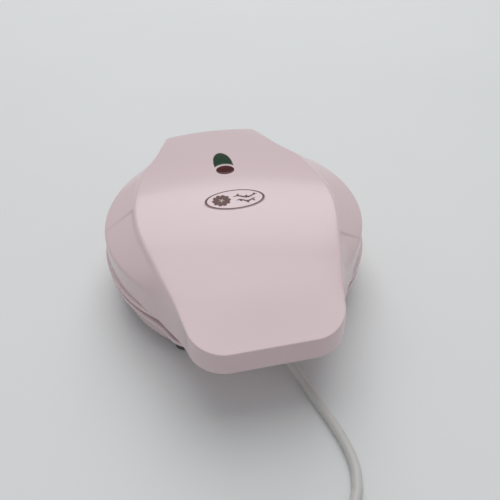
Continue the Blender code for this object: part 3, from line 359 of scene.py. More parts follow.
# ---------------------------------------------------------------- finishes
def linear(colour: str) -> tuple:
    """Linear colour of an sRGB hex value such as #ccaa88."""
    levels = [int(colour[k:k + 2], 16) / 255 for k in (1, 3, 5)]
    return tuple(v / 12.92 if v <= 0.04045 else ((v + 0.055) / 1.055) ** 2.4
                 for v in levels) + (1.0,)


def add_node(tree: bpy.types.NodeTree, kind: str, inputs: dict | None = None,
             **settings: object) -> bpy.types.Node:
    """Add a node with its settings, values and links.

    Args:
        tree: Node tree to add to.
        kind: The node's type.
        inputs: Socket name or number to a value, or to the socket that feeds it.
        settings: Attributes of the node.

    Returns:
        The node.
    """
    made = tree.nodes.new(kind)
    for name, value in settings.items():
        setattr(made, name, value)
    for key, value in (inputs or {}).items():
        socket = made.inputs[key]
        if isinstance(value, bpy.types.NodeSocket):
            tree.links.new(value, socket)
        else:
            socket.default_value = value
    return made


def node_group(name: str, inputs: dict) -> bpy.types.NodeTree:
    """Empty geometry node group with one geometry output.

    Args:
        name: Its name.
        inputs: Name of each input to its kind, such as Object or Float.

    Returns:
        The group.
    """
    tree = bpy.data.node_groups.new(name, "GeometryNodeTree")
    tree.interface.new_socket("Geometry", in_out="OUTPUT", socket_type="NodeSocketGeometry")
    for socket, kind in inputs.items():
        tree.interface.new_socket(socket, in_out="INPUT", socket_type=f"NodeSocket{kind}")
    return tree


def copies_on(tree: bpy.types.NodeTree, points: bpy.types.NodeSocket,
              instance: bpy.types.NodeSocket, angle: bpy.types.NodeSocket,
              finish: bpy.types.NodeSocket) -> None:
    """End a group with real, painted copies of an object, one on each point.

    Args:
        tree: The group.
        points: Socket with the points.
        instance: Socket with the object's mesh.
        angle: Socket with each copy's turn about the vertical, in radians.
        finish: Socket with the material.
    """
    spin = add_node(tree, "ShaderNodeCombineXYZ", {"Z": angle})
    turned = add_node(tree, "FunctionNodeEulerToRotation", {0: spin.outputs[0]})
    copies = add_node(tree, "GeometryNodeInstanceOnPoints", {
        "Points": points, "Instance": instance, "Rotation": turned.outputs[0]})
    real = add_node(tree, "GeometryNodeRealizeInstances", {0: copies.outputs[0]})
    painted = add_node(tree, "GeometryNodeSetMaterial", {
        "Geometry": real.outputs[0], "Material": finish})
    add_node(tree, "NodeGroupOutput", {0: painted.outputs[0]})


def grown_on(host: bpy.types.Object, tree: bpy.types.NodeTree, values: dict,
             pattern: bpy.types.Object) -> None:
    """Run a node group on a host with its inputs set, and drop the pattern it copied.

    Args:
        host: Object that takes the group's mesh.
        tree: The group.
        values: Name of each input to its value.
        pattern: Object that the group copies, which isn't wanted afterwards.
    """
    work = host.modifiers.new(tree.name, "NODES")
    work.node_group = tree
    names = {item.name: item.identifier for item in tree.interface.items_tree
             if item.in_out == "INPUT"}
    for name, value in values.items():
        work[names[name]] = value
    baked(host)
    bpy.data.objects.remove(pattern)


class Grain(Enum):
    """How a surface feels close up."""

    MOULDED = "moulded"        # slight waviness of a polished mould, like orange peel
    SPARKED = "sparked"        # fine even texture of an eroded mould
    BRUSHED = "brushed"        # fine parallel scratches
    CAST = "cast"              # rough skin of a casting under its coating
    RINGED = "ringed"          # moulded prisms in rings, inside a lamp's lens


@dataclass(frozen=True)
class Finish:
    """One real material with the surface it has here."""

    name: str
    colour: str
    second: str
    roughness: float
    grain: Grain
    grain_mm: float
    depth_mm: float
    tone_mm: float = 25.0
    tone: float = 0.5
    gloss_spread: float = 0.06
    metallic: float = 0.0
    ior: float = 1.5
    coat: float = 0.0
    transmission: float = 0.0
    alpha: float = 1.0
    subsurface: float = 0.0
    centre: tuple = (0.0, 0.0, 0.0)

    def material(self) -> bpy.types.Material:
        """Return the finish's material, made once."""
        known = bpy.data.materials.get(self.name)
        if known is not None:
            return known
        made = bpy.data.materials.new(self.name)
        made.use_nodes = True
        tree = made.node_tree
        shader = tree.nodes["Principled BSDF"]
        self._set_plain_values(shader)
        place = add_node(tree, "ShaderNodeTexCoord").outputs["Object"]
        self._link_tone(tree, shader, place)
        self._link_grain(tree, shader, place)
        return made

    def _set_plain_values(self, shader: bpy.types.Node) -> None:
        """Set the values that are the same all over the surface."""
        shader.inputs["Metallic"].default_value = self.metallic
        shader.inputs["Coat Weight"].default_value = self.coat
        shader.inputs["Coat Roughness"].default_value = 0.08
        shader.inputs["Transmission Weight"].default_value = self.transmission
        shader.inputs["Alpha"].default_value = self.alpha
        if self.metallic == 0.0:
            shader.inputs["IOR"].default_value = self.ior
        if self.subsurface:
            shader.inputs["Subsurface Weight"].default_value = self.subsurface
            shader.inputs["Subsurface Scale"].default_value = 2.0 * MM

    def _link_tone(self, tree: bpy.types.NodeTree, shader: bpy.types.Node,
                   place: bpy.types.NodeSocket) -> None:
        """Cloudy change between the two colours and in the gloss."""
        cloud = add_node(tree, "ShaderNodeTexNoise", {
            "Vector": place, "Scale": 1.0 / (self.tone_mm * MM), "Detail": 3.0,
            "Roughness": 0.55})
        tint = add_node(tree, "ShaderNodeMix", {
            0: add_node(tree, "ShaderNodeMapRange", {
                "Value": cloud.outputs["Fac"], "From Min": 0.3, "From Max": 0.7,
                "To Min": 0.0, "To Max": self.tone}).outputs["Result"],
            6: linear(self.colour), 7: linear(self.second)}, data_type="RGBA")
        tree.links.new(tint.outputs[2], shader.inputs["Base Color"])
        gloss = add_node(tree, "ShaderNodeMapRange", {
            "Value": cloud.outputs["Fac"], "From Min": 0.3, "From Max": 0.7,
            "To Min": max(self.roughness - self.gloss_spread / 2, 0.02),
            "To Max": self.roughness + self.gloss_spread / 2})
        tree.links.new(gloss.outputs["Result"], shader.inputs["Roughness"])

    def _link_grain(self, tree: bpy.types.NodeTree, shader: bpy.types.Node,
                    place: bpy.types.NodeSocket) -> None:
        """Fine relief of the surface."""
        scale = 1.0 / (self.grain_mm * MM)
        if self.grain is Grain.RINGED:
            centred = add_node(tree, "ShaderNodeMapping", {
                "Vector": place, "Location": tuple(-value for value in self.centre)})
            relief = add_node(tree, "ShaderNodeTexWave", {
                "Vector": centred.outputs["Vector"], "Scale": scale / 20.0},
                wave_type="RINGS", rings_direction="Z").outputs["Fac"]
        elif self.grain is Grain.BRUSHED:
            drawn = add_node(tree, "ShaderNodeMapping", {
                "Vector": place, "Scale": (1.0, 0.04, 1.0)})
            relief = add_node(tree, "ShaderNodeTexNoise", {
                "Vector": drawn.outputs["Vector"], "Scale": scale, "Detail": 4.0}).outputs["Fac"]
        elif self.grain is Grain.CAST:
            relief = add_node(tree, "ShaderNodeTexVoronoi", {
                "Vector": place, "Scale": scale}, feature="SMOOTH_F1").outputs["Distance"]
        else:
            detail = 1.0 if self.grain is Grain.MOULDED else 5.0
            relief = add_node(tree, "ShaderNodeTexNoise", {
                "Vector": place, "Scale": scale, "Detail": detail}).outputs["Fac"]
        bump = add_node(tree, "ShaderNodeBump", {
            "Height": relief, "Distance": self.depth_mm * MM, "Strength": 1.0})
        tree.links.new(bump.outputs["Normal"], shader.inputs["Normal"])


# Polypropylene from a polished mould: even colour, a sharp gloss that waves very slightly.
PINK_PLASTIC = Finish("polished_pink_polypropylene", "#e2cbce", "#dfc8cb", 0.22, Grain.MOULDED,
                      9.0, 0.010, tone_mm=60.0, ior=1.49, coat=0.1)
# The same plastic where the mould is matt, on faces that nobody sees.
PINK_MATT = Finish("matt_pink_polypropylene", "#e2c8cb", "#dcc0c4", 0.5, Grain.SPARKED, 0.6, 0.02,
                   ior=1.49)
# Tinted polycarbonate lens: dark and deep, with moulded prisms inside. A low index keeps the
# pale room from washing its colour out.
GREEN_LENS = Finish("tinted_green_polycarbonate", "#042e12", "#07431e", 0.08, Grain.RINGED, 1.2,
                    0.02, tone_mm=4.0, ior=1.3)
RED_LENS = Finish("tinted_red_polycarbonate", "#430503", "#5a0a06", 0.08, Grain.RINGED, 1.2,
                  0.02, tone_mm=4.0, ior=1.3)
# Pad-printed ink: flat and slightly raised, a little duller than the plastic under it.
BROWN_INK = Finish("pad_printed_brown_ink", "#4f1a12", "#5f2418", 0.4, Grain.SPARKED, 0.5, 0.01,
                   tone_mm=3.0)
# Polytetrafluoroethylene coating on cast aluminium: nearly black, satin, speckled.
NON_STICK = Finish("non_stick_coated_cast_aluminium", "#2b2a2b", "#3a393a", 0.38, Grain.CAST, 0.9,
                   0.03, tone_mm=1.5, metallic=0.0, ior=1.45, coat=0.15)
# Stainless sheath of a heating element, drawn and then tinted by heat.
HEATED_STEEL = Finish("heat_tinted_stainless_tube", "#8b837b", "#6f6358", 0.35, Grain.BRUSHED, 0.5,
                      0.01, tone_mm=8.0, metallic=1.0)
# Bright pressed sheet with faint roller marks.
BRIGHT_SHEET = Finish("aluminised_steel_sheet", "#c4c4c2", "#b2b2b0", 0.28, Grain.BRUSHED, 0.6,
                      0.008, tone_mm=15.0, metallic=1.0)
# Zinc plating: bluish grey, slightly cloudy.
ZINC_STEEL = Finish("zinc_plated_steel", "#b9bcc0", "#9ea2a8", 0.3, Grain.BRUSHED, 0.3, 0.006,
                    tone_mm=2.0, metallic=1.0)
NICKEL_BRASS = Finish("nickel_plated_brass", "#cdc6b8", "#bdb4a2", 0.2, Grain.BRUSHED, 0.3, 0.004,
                      tone_mm=4.0, metallic=1.0)
# Moulded rubber: dull, with a fine dusty bloom.
FOOT_RUBBER = Finish("moulded_grey_rubber", "#5b5858", "#6a6666", 0.8, Grain.SPARKED, 0.7, 0.03,
                     tone_mm=3.0, ior=1.52)
# Soft PVC jacket: satin white, faint marks from the extruder.
WHITE_PVC = Finish("extruded_white_pvc", "#d2d0cd", "#c9c6c2", 0.42, Grain.SPARKED, 1.6, 0.03,
                   tone_mm=18.0, ior=1.53, subsurface=0.06)
SLEEVING = Finish("braided_glass_sleeving", "#cfc8bd", "#b7aea0", 0.7, Grain.SPARKED, 0.5, 0.05,
                  tone_mm=3.0)
STEATITE = Finish("pressed_steatite", "#dcd6c8", "#cfc7b6", 0.6, Grain.SPARKED, 0.5, 0.02)
LAMP_BOARD = Finish("phenolic_paper_board", "#a07c48", "#8d6a3a", 0.5, Grain.SPARKED, 0.4, 0.01)
NEON_GLASS = Finish("neon_lamp_glass", "#e8c8b0", "#e0b898", 0.05, Grain.MOULDED, 4.0, 0.02,
                    ior=1.5, alpha=0.5)


# ---------------------------------------------------------------- form of the lid
@dataclass(frozen=True)
class Station:
    """One stop on the way round a plan outline: a point and its outward direction."""

    x: float
    y: float
    out: Vector

    def offset(self, distance: float, height: float) -> tuple:
        """Point at a distance out from the outline, at a height."""
        return (self.x + self.out.x * distance, self.y + self.out.y * distance, height)


@dataclass(frozen=True)
class LidForm:
    """Outline and heights of the lid. Lengths are in metres, in the body's own frame."""

    radius: float = 107.5 * MM
    front: float = 147.3 * MM
    rear: float = 142.8 * MM
    band_front: float = 48.8 * MM
    band_middle: float = 81.3 * MM
    band_rear: float = 46.1 * MM
    front_corner: float = 20.0 * MM
    rear_corner: float = 4.0 * MM
    neck_blend: float = 7.0 * MM
    top: float = 81.7 * MM
    top_y: float = -21.0 * MM
    front_height: float = 70.7 * MM
    rear_height: float = 62.5 * MM
    crown_rise: float = 3.7 * MM
    wing_edge: float = 66.5 * MM
    wing_step: float = 3.0 * MM
    step_reach: float = 2.2 * MM
    bottom: float = 45.0 * MM
    handle_bottom: float = 52.8 * MM
    round_draft: float = 1.2 * MM
    handle_draft: float = 1.0 * MM
    neck_draft: float = 3.2 * MM
    edge_round: float = 0.4 * MM
    wall: float = 2.4 * MM

    def band_half(self, y: float) -> float:
        """Half width of the raised band at y."""
        front, middle, rear = self.band_front, self.band_middle, self.band_rear
        return through([
            (-self.front, front), (-0.110, mix(front, middle, 0.268)),
            (-0.070, mix(front, middle, 0.615)), (-0.030, mix(front, middle, 0.926)),
            (0.0, middle), (0.030, mix(rear, middle, 0.905)), (0.060, mix(rear, middle, 0.745)),
            (0.085, mix(rear, middle, 0.435)), (0.120, mix(rear, middle, 0.155)),
            (self.rear, rear)], y)

    def edge_height(self, y: float) -> float:
        """Height of the band's edge at y."""
        ahead = y < self.top_y
        reach = (-self.front if ahead else self.rear) - self.top_y
        fall = self.top - (self.front_height if ahead else self.rear_height)
        return self.top - fall * ((y - self.top_y) / reach) ** 2

    def crown(self, y: float) -> float:
        """Rise of the band's middle line over its edges at y."""
        front = smoothstep((y + self.front) / 0.045)
        return self.crown_rise * front * (1.0 - 0.2 * max(y / self.rear, 0.0) ** 2)

    def surface(self, x: float, y: float) -> float:
        """Height of the band's surface."""
        share = min(abs(x) / self.band_half(y), 1.0)
        return self.edge_height(y) + self.crown(y) * (1.0 - share ** 2)

    def wing_half(self, y: float) -> float:
        """Half width of the lid at the outer edge of its wings."""
        bulge = 0.002 * (1.0 - smoothstep((-0.092 - y) / 0.022)) * (y < 0)
        neck = self.band_half(y) + self.edge_round + bulge
        circle = math.sqrt(max(self.radius ** 2 - y ** 2, 0.0))
        return soft_max(circle, neck, self.neck_blend)

    def wing_height(self, y: float) -> float:
        """Height of the wing's outer edge, which rises to the band's edge at the handle."""
        edge = self.edge_height(y)
        plain = -soft_max(-self.wing_edge, -(edge - 0.0045), 0.001)
        return mix(plain, edge - 0.001, smoothstep((-0.082 - y) / 0.038))

    def lower_edge(self, y: float) -> float:
        """Height of the wall's lower edge."""
        return mix(self.bottom, self.handle_bottom, smoothstep((-0.095 - y) / 0.036))

    def draft(self, y: float) -> float:
        """How far the wall leans out on its way down."""
        return through([
            (-0.140, self.handle_draft), (-0.125, self.handle_draft), (-0.105, self.neck_draft),
            (-0.085, self.neck_draft), (-0.065, self.round_draft), (0.0, self.round_draft)], y)

    def corner_inset(self, y: float) -> float:
        """How far the rounded corners pull the side in at y."""
        inset = 0.0
        for distance, radius in ((y + self.front, self.front_corner),
                                 (self.rear - y, self.rear_corner)):
            if distance < radius:
                inset += radius - math.sqrt(max(radius ** 2 - (radius - distance) ** 2, 0.0))
        return inset

    def outward(self, y: float) -> Vector:
        """Outward direction on the +X side, turned from the ends through the corners."""
        front, rear = -self.front + self.front_corner, self.rear - self.rear_corner
        if y < front:
            turn = math.acos(min(max((front - y) / self.front_corner, 0.0), 1.0))
            return Vector((math.sin(turn), -math.cos(turn)))
        if y > rear:
            turn = math.acos(min(max((y - rear) / self.rear_corner, 0.0), 1.0))
            return Vector((math.sin(turn), math.cos(turn)))
        return Vector((1.0, 0.0))

    def station(self, y: float) -> Station:
        """Stop on the band's edge at y, on the +X side."""
        return Station(self.band_half(y) - self.corner_inset(y), y, self.outward(y))


@dataclass
class Lid:
    """Everything that swings up with the lid, apart from its cooking plate."""

    form: LidForm = field(default_factory=LidForm)
    row_step: float = 1.7 * MM
    fine_step: float = 0.6 * MM
    columns: int = 56
    crease_inset: float = 3.0 * MM
    crease_reach: float = 1.6 * MM
    valley_reach: float = 1.8 * MM
    edge_reach: float = 2.2 * MM
    left_step: tuple = ((-84.3 * MM, 3.3 * MM), (-104.9 * MM, -3.9 * MM))
    right_step: tuple = ((74.6 * MM, -58.2 * MM), (91.8 * MM, -56.2 * MM))
    step_inner: float = 1.4 * MM
    step_outer: float = 0.5 * MM
    step_width: float = 2.4 * MM
    step_fade: float = 42.0 * MM
    red_y: float = 39.4 * MM
    red_radius: float = 7.7 * MM
    green_half: float = 8.2 * MM
    green_reach: float = 35.1 * MM
    green_shoulder: float = 12.5 * MM
    lamp_space: float = 3.3 * MM
    badge_y: float = -8.8 * MM
    badge_half_length: float = 25.0 * MM
    badge_half_width: float = 13.0 * MM

    # ---- shell
    def step_drop(self, x: float, y: float) -> float:
        """How far a wing's surface lies below its plain form, on the handle's side of its step."""
        (x0, y0), (x1, y1) = self.left_step if x < 0 else self.right_step
        along = min(max((x - x0) / (x1 - x0), -0.3), 1.3)
        line = mix(y0, y1, along)
        ahead = line - y
        if ahead < -self.step_width:
            return 0.0
        depth = mix(self.step_inner, self.step_outer, min(max(along, 0.0), 1.0))
        edge = smoothstep(ahead / self.step_width + 0.5)
        return depth * edge * (1.0 - smoothstep(ahead / self.step_fade))

    def section(self, station: Station) -> list:
        """Points from inside the band's edge down to the lower rim, at one station.

        Returns:
            Points in the body's own frame, always the same number of them.
        """
        form, y = self.form, station.y
        wing = form.wing_half(y) - form.band_half(y)
        edge, rim = form.edge_height(y), form.wing_height(y)
        broad = smoothstep((wing - 0.002) / 0.012)
        valley = mix(0.4 * wing, form.step_reach, broad)
        valley_height = edge - mix(0.4 * (edge - rim), form.wing_step, broad)
        inner = station.offset(-self.crease_inset, 0.0)
        corners = [
            (-self.crease_inset, form.surface(inner[0], inner[1])),
            (0.0, form.surface(station.x, station.y)),
            (valley, valley_height),
            (wing, rim),
            (wing + form.draft(y), form.lower_edge(y)),
        ]
        line = softened(corners, [self.crease_reach, self.valley_reach, self.edge_reach], 6)
        # The long stretches get points of their own, so that a step can run over the wing.
        flat_start, flat_end = line[14], line[15]
        flat = [flat_start.lerp(flat_end, k / 12) for k in range(1, 12)]
        drop = [line[-2].lerp(line[-1], k / 4) for k in range(1, 4)]
        line = line[:15] + flat + line[15:-1] + drop + line[-1:]
        made = []
        for distance, height in line:
            x, y_here, z = station.offset(distance, height)
            share = smoothstep((distance - 0.25 * valley) / (0.75 * valley + 1e-6))
            lower = smoothstep((rim - height) / 0.006)
            if broad > 0.5:
                z -= self.step_drop(x, y_here) * share * (1.0 - lower)
            made.append((x, y_here, z))
        return made

    def rows(self) -> list:
        """Values of y at which the shell has a row of points."""
        form = self.form
        front, rear = -form.front + form.front_corner, form.rear - form.rear_corner
        corner = [-form.front + form.front_corner * (1 - math.cos(math.pi / 2 * k / 14))
                  for k in range(14)]
        values = [front]
        while values[-1] < rear:
            y = values[-1]
            near = -0.010 < y < 0.008 or -0.064 < y < -0.050
            values.append(y + (self.fine_step if near else self.row_step))
        values[-1] = rear
        tail = [form.rear - form.rear_corner * (1 - math.sin(math.pi / 2 * k / 6))
                for k in range(1, 7)]
        return corner + values + tail

    def shell(self) -> bpy.types.Object:
        """Lid moulding: band, wings and wall, with the openings for its two lenses."""
        form = self.form
        side = [form.station(y) for y in self.rows()]
        shares = [2 * k / self.columns - 1 for k in range(self.columns + 1)]
        draft = MeshDraft()
        grid = []
        for station in side:
            x, y, _ = station.offset(-self.crease_inset, 0.0)
            grid.append(draft.add_ring([(s * x, y, form.surface(s * x, y)) for s in shares]))
        for low, high in zip(grid, grid[1:]):
            draft.bridge(low, high, closed=False)
        front = [Station(s * side[0].x, side[0].y, Vector((0.0, -1.0))) for s in shares]
        rear = [Station(-s * side[-1].x, side[-1].y, Vector((0.0, 1.0))) for s in shares]
        left = [Station(-s.x, s.y, Vector((-s.out.x, s.out.y))) for s in reversed(side)]
        loop = front + side[1:-1] + rear + left[1:-1]
        sections = [self.section(station) for station in loop]
        border = (grid[0] + [row[-1] for row in grid[1:]] + grid[-1][-2::-1]
                  + [row[0] for row in grid[-2:0:-1]])
        previous = border
        for level in range(1, len(sections[0])):
            ring = draft.add_ring([section[level] for section in sections])
            draft.bridge(ring, previous)
            previous = ring
        moulding = walled(draft.build("lid_moulding", PINK_PLASTIC), form.wall)
        low, high = 0.055, 0.095
        tools = [prism("green_hole", self.green_outline(0.35 * MM), low, high, PINK_PLASTIC),
                 prism("red_hole", self.red_outline(0.35 * MM), low, high, PINK_PLASTIC)]
        return settle(cut(moulding, tools), "lid", "lid_shell")

    # ---- lamps
    def green_outline(self, grow: float = 0.0) -> list:
        """Half an oval with a hollow foot that follows the red lens."""
        foot = self.red_radius + self.lamp_space - grow
        half = self.green_half + grow
        turn = math.asin(half / foot)
        hollow = arc((0.0, self.red_y), foot, math.pi / 2 + turn, math.pi / 2 - turn, 16)
        shoulder = self.red_y + self.green_shoulder
        rise = self.green_reach - self.green_shoulder + grow
        head = [(half * x, shoulder + rise * y) for x, y in arc((0.0, 0.0), 1.0, 0.0, math.pi, 48)]
        return head + hollow

    def red_outline(self, grow: float = 0.0) -> list:
        """Round outline of the red lens."""
        return arc((0.0, self.red_y), self.red_radius + grow, 0.0, math.tau, 56)[:-1]

    def lens(self, name: str, node: str, outline: list, finish: Finish) -> bpy.types.Object:
        """Lens with a rounded edge and a slight dome, seated in its opening.

        Args:
            name: Name of the piece.
            node: CAD node that it stands for.
            outline: Its outline from above.
            finish: Its plastic.

        Returns:
            The lens.
        """
        middle = sum((Vector(point) for point in outline), Vector((0.0, 0.0))) / len(outline)
        rings = [(1.0, -3.4), (1.0, -0.25), (0.985, 0.0), (0.96, 0.1), (0.85, 0.16),
                 (0.65, 0.2), (0.4, 0.22), (0.15, 0.23)]
        draft = MeshDraft()
        rows = []
        for share, rise in rings:
            row = []
            for point in outline:
                x, y = middle.lerp(Vector(point), share)
                row.append((x, y, self.form.surface(x, y) + rise * MM))
            rows.append(draft.add_ring(row))
        for low, high in zip(rows, rows[1:]):
            draft.bridge(low, high)
        draft.cap(rows[0], flip=True)
        draft.cap(rows[-1])
        return settle(draft.build(name, finish), "lid", node)

    def lamps(self) -> None:
        """Both lenses."""
        green_centre = (0.0, self.red_y + 0.5 * self.green_reach + CENTRE.y, self.form.top)
        red_centre = (0.0, self.red_y + CENTRE.y, self.form.top)
        green = Finish(**{**GREEN_LENS.__dict__, "centre": green_centre})
        red = Finish(**{**RED_LENS.__dict__, "centre": red_centre})
        self.lens("green_lamp_lens", "lamp_lens_green", self.green_outline(), green)
        self.lens("red_lamp_lens", "lamp_lens_red", self.red_outline(), red)

    # ---- badge
    def oval(self, share: float, turn: float) -> tuple:
        """Point of the badge at a share of its radius."""
        return (self.badge_half_length * share * math.cos(turn),
                self.badge_y + self.badge_half_width * share * math.sin(turn))

    def laid(self, draft: MeshDraft, outer: list, inner: list, rise: float, thick: float) -> None:
        """Add a thin closed band between two outlines, laid on the lid's surface."""
        rows = []
        for outline, lift in ((outer, 0.0), (outer, thick), (inner, thick), (inner, 0.0)):
            rows.append(draft.add_ring([
                (x, y, self.form.surface(x, y) + rise + lift) for x, y in outline]))
        for low, high in zip(rows, rows[1:] + rows[:1]):
            draft.bridge(low, high)

    def laid_patch(self, draft: MeshDraft, outline: list, rise: float, thick: float) -> None:
        """Add a thin closed patch inside an outline, laid on the lid's surface."""
        middle = sum((Vector(point) for point in outline), Vector((0.0, 0.0))) / len(outline)
        rows = []
        for share, lift in ((1.0, 0.0), (1.0, thick), (0.66, thick), (0.33, thick)):
            row = [middle.lerp(Vector(point), share) for point in outline]
            rows.append(draft.add_ring([
                (x, y, self.form.surface(x, y) + rise + lift) for x, y in row]))
        for low, high in zip(rows, rows[1:]):
            draft.bridge(low, high)
        draft.cap(rows[-1])
        draft.cap(rows[0], flip=True)

    def heart(self, centre: Vector, size: float, turn: float, count: int = 26) -> list:
        """Outline of a small heart whose tip points along turn."""
        points = []
        for k in range(count):
            t = math.tau * k / count
            across = 0.95 * math.sin(t) ** 3
            along = -(13 * math.cos(t) - 5 * math.cos(2 * t) - 2 * math.cos(3 * t)
                      - math.cos(4 * t)) / 16
            spot = Vector((across, along)) * size
            points.append(tuple(centre + Matrix.Rotation(turn + math.pi / 2, 2) @ spot))
        return points

    def badge(self) -> None:
        """Thin oval plate with a printed ring, a waffle of five hearts and a flourish."""
        turns = [math.tau * k / 96 for k in range(96)]
        plate = MeshDraft()
        self.laid_patch(plate, [self.oval(1.0, turn) for turn in turns], 0.3 * MM, 0.14 * MM)
        settle(plate.build("badge_plate", PINK_PLASTIC, crease_deg=30), "lid", "badge",
               slot="pink_gloss")

        ink_rise, ink = 0.46 * MM, 0.05 * MM
        print_draft = MeshDraft()
        self.laid(print_draft, [self.oval(0.985, turn) for turn in turns],
                  [self.oval(0.91, turn) for turn in turns], ink_rise, ink)
        middle = Vector((-11.0 * MM, self.badge_y))
        for k in range(5):
            turn = math.pi / 2 + math.tau * k / 5
            way = Vector((math.cos(turn), math.sin(turn)))
            self.laid_patch(print_draft, self.heart(middle + 4.5 * MM * way, 4.0 * MM, turn),
                            ink_rise, ink)
        for start, length, across in ((-1.0, 20.0, 2.2), (1.0, 15.5, -3.2)):
            self.flourish(print_draft, (start, length, across), ink_rise, ink)
        settle(print_draft.build("badge_print", BROWN_INK, crease_deg=30), "lid",
               slot="badge_print")

    def flourish(self, draft: MeshDraft, place: tuple, rise: float, ink: float) -> None:
        """Add a waving stroke with leaves, thick in its middle.

        Args:
            draft: Mesh to add to.
            place: Where it starts along X, its length and how far it lies off the middle, in mm.
            rise: Height over the lid.
            ink: Thickness of the ink.
        """
        start, length, across = place

        def stem(t: float) -> Vector:
            """Point of the stroke."""
            return Vector(((start + length * t) * MM,
                           self.badge_y + (across + 1.5 * math.sin(7.5 * t + 0.4)) * MM))
        line = [stem(k / 24) for k in range(25)]
        halves = [(0.3 + 0.75 * math.sin(math.pi * k / 24)) * MM for k in range(25)]
        upper = [p + Vector((0.0, half)) for p, half in zip(line, halves)]
        lower = [p - Vector((0.0, half)) for p, half in zip(line, halves)]
        self.laid_patch_strip(draft, upper, lower[::-1], rise, ink)
        for k in (1, 3, 5):
            base = stem(k / 6)
            lean = Vector((0.6, 1.0 if across > 0 else -1.0)).normalized()
            side = Vector((-lean.y, lean.x))
            leaf = [base + lean * (3.4 * MM * t) + side * (1.0 * MM * w)
                    for t, w in ((0.0, 0.0), (0.3, 0.8), (0.6, 0.9), (1.0, 0.0),
                                 (0.6, -0.9), (0.3, -0.8))]
            self.laid_patch(draft, [tuple(point) for point in leaf], rise, ink)

    def laid_patch_strip(self, draft: MeshDraft, upper: list, lower: list, rise: float,
                         thick: float) -> None:
        """Add a thin strip between two edges that run opposite ways."""
        rows = []
        for lift in (0.0, thick):
            rows.append([draft.add_ring([(x, y, self.form.surface(x, y) + rise + lift)])[0]
                         for x, y in [*upper, *lower]])
        draft.bridge(rows[0], rows[1])
        count = len(upper)
        for row in rows:
            for k in range(count - 1):
                draft.faces.append((row[k], row[k + 1], row[-k - 2], row[-k - 1]))

    # ---- lower edge
    def rim(self) -> None:
        """Ring that closes the lid's lower edge and carries the upper plate."""
        low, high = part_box("lid_frame")
        outer = (high.x - low.x) / 2
        bottom, lip_top = low.z, high.z
        top = self.form.bottom - 0.3 * MM
        plate_low, plate_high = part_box("upper_plate")
        seat = (plate_high.x - plate_low.x) / 2 + 0.3 * MM
        back = plate_low.z + 2.5 * MM + 0.3 * MM
        lip = self.form.radius - self.form.wall - 1.2 * MM
        section = [
            (lip, lip_top), (lip, top), (outer - 2.3 * MM, top), (outer - 0.9 * MM, top - 0.15 * MM),
            (outer - 0.25 * MM, top - 0.7 * MM), (outer, top - 1.5 * MM),
            (outer, bottom + 1.2 * MM), (outer - 0.3 * MM, bottom + 0.4 * MM),
            (outer - 1.0 * MM, bottom), (seat, bottom), (seat, back), (seat - 5.5 * MM, back),
            (seat - 5.5 * MM, back + 2.2 * MM), (seat + 2.2 * MM, back + 2.2 * MM),
            (lip - 3.8 * MM, top - 1.0 * MM), (lip - 1.8 * MM, top), (lip - 1.8 * MM, lip_top),
        ]
        draft = MeshDraft()
        draft.turn(section, 220, closed=True)
        settle(draft.build("lid_rim", PINK_PLASTIC, crease_deg=30), "lid", "lid_frame")

    def build(self) -> None:
        """Make every piece of the lid."""
        self.shell()
        self.lamps()
        self.badge()
        self.rim()
        soft_copy("handle_cover", "handle_underside", PINK_MATT)
        soft_copy("lid_hinge", "hinge_bracket", PINK_MATT, 0.6 * MM)


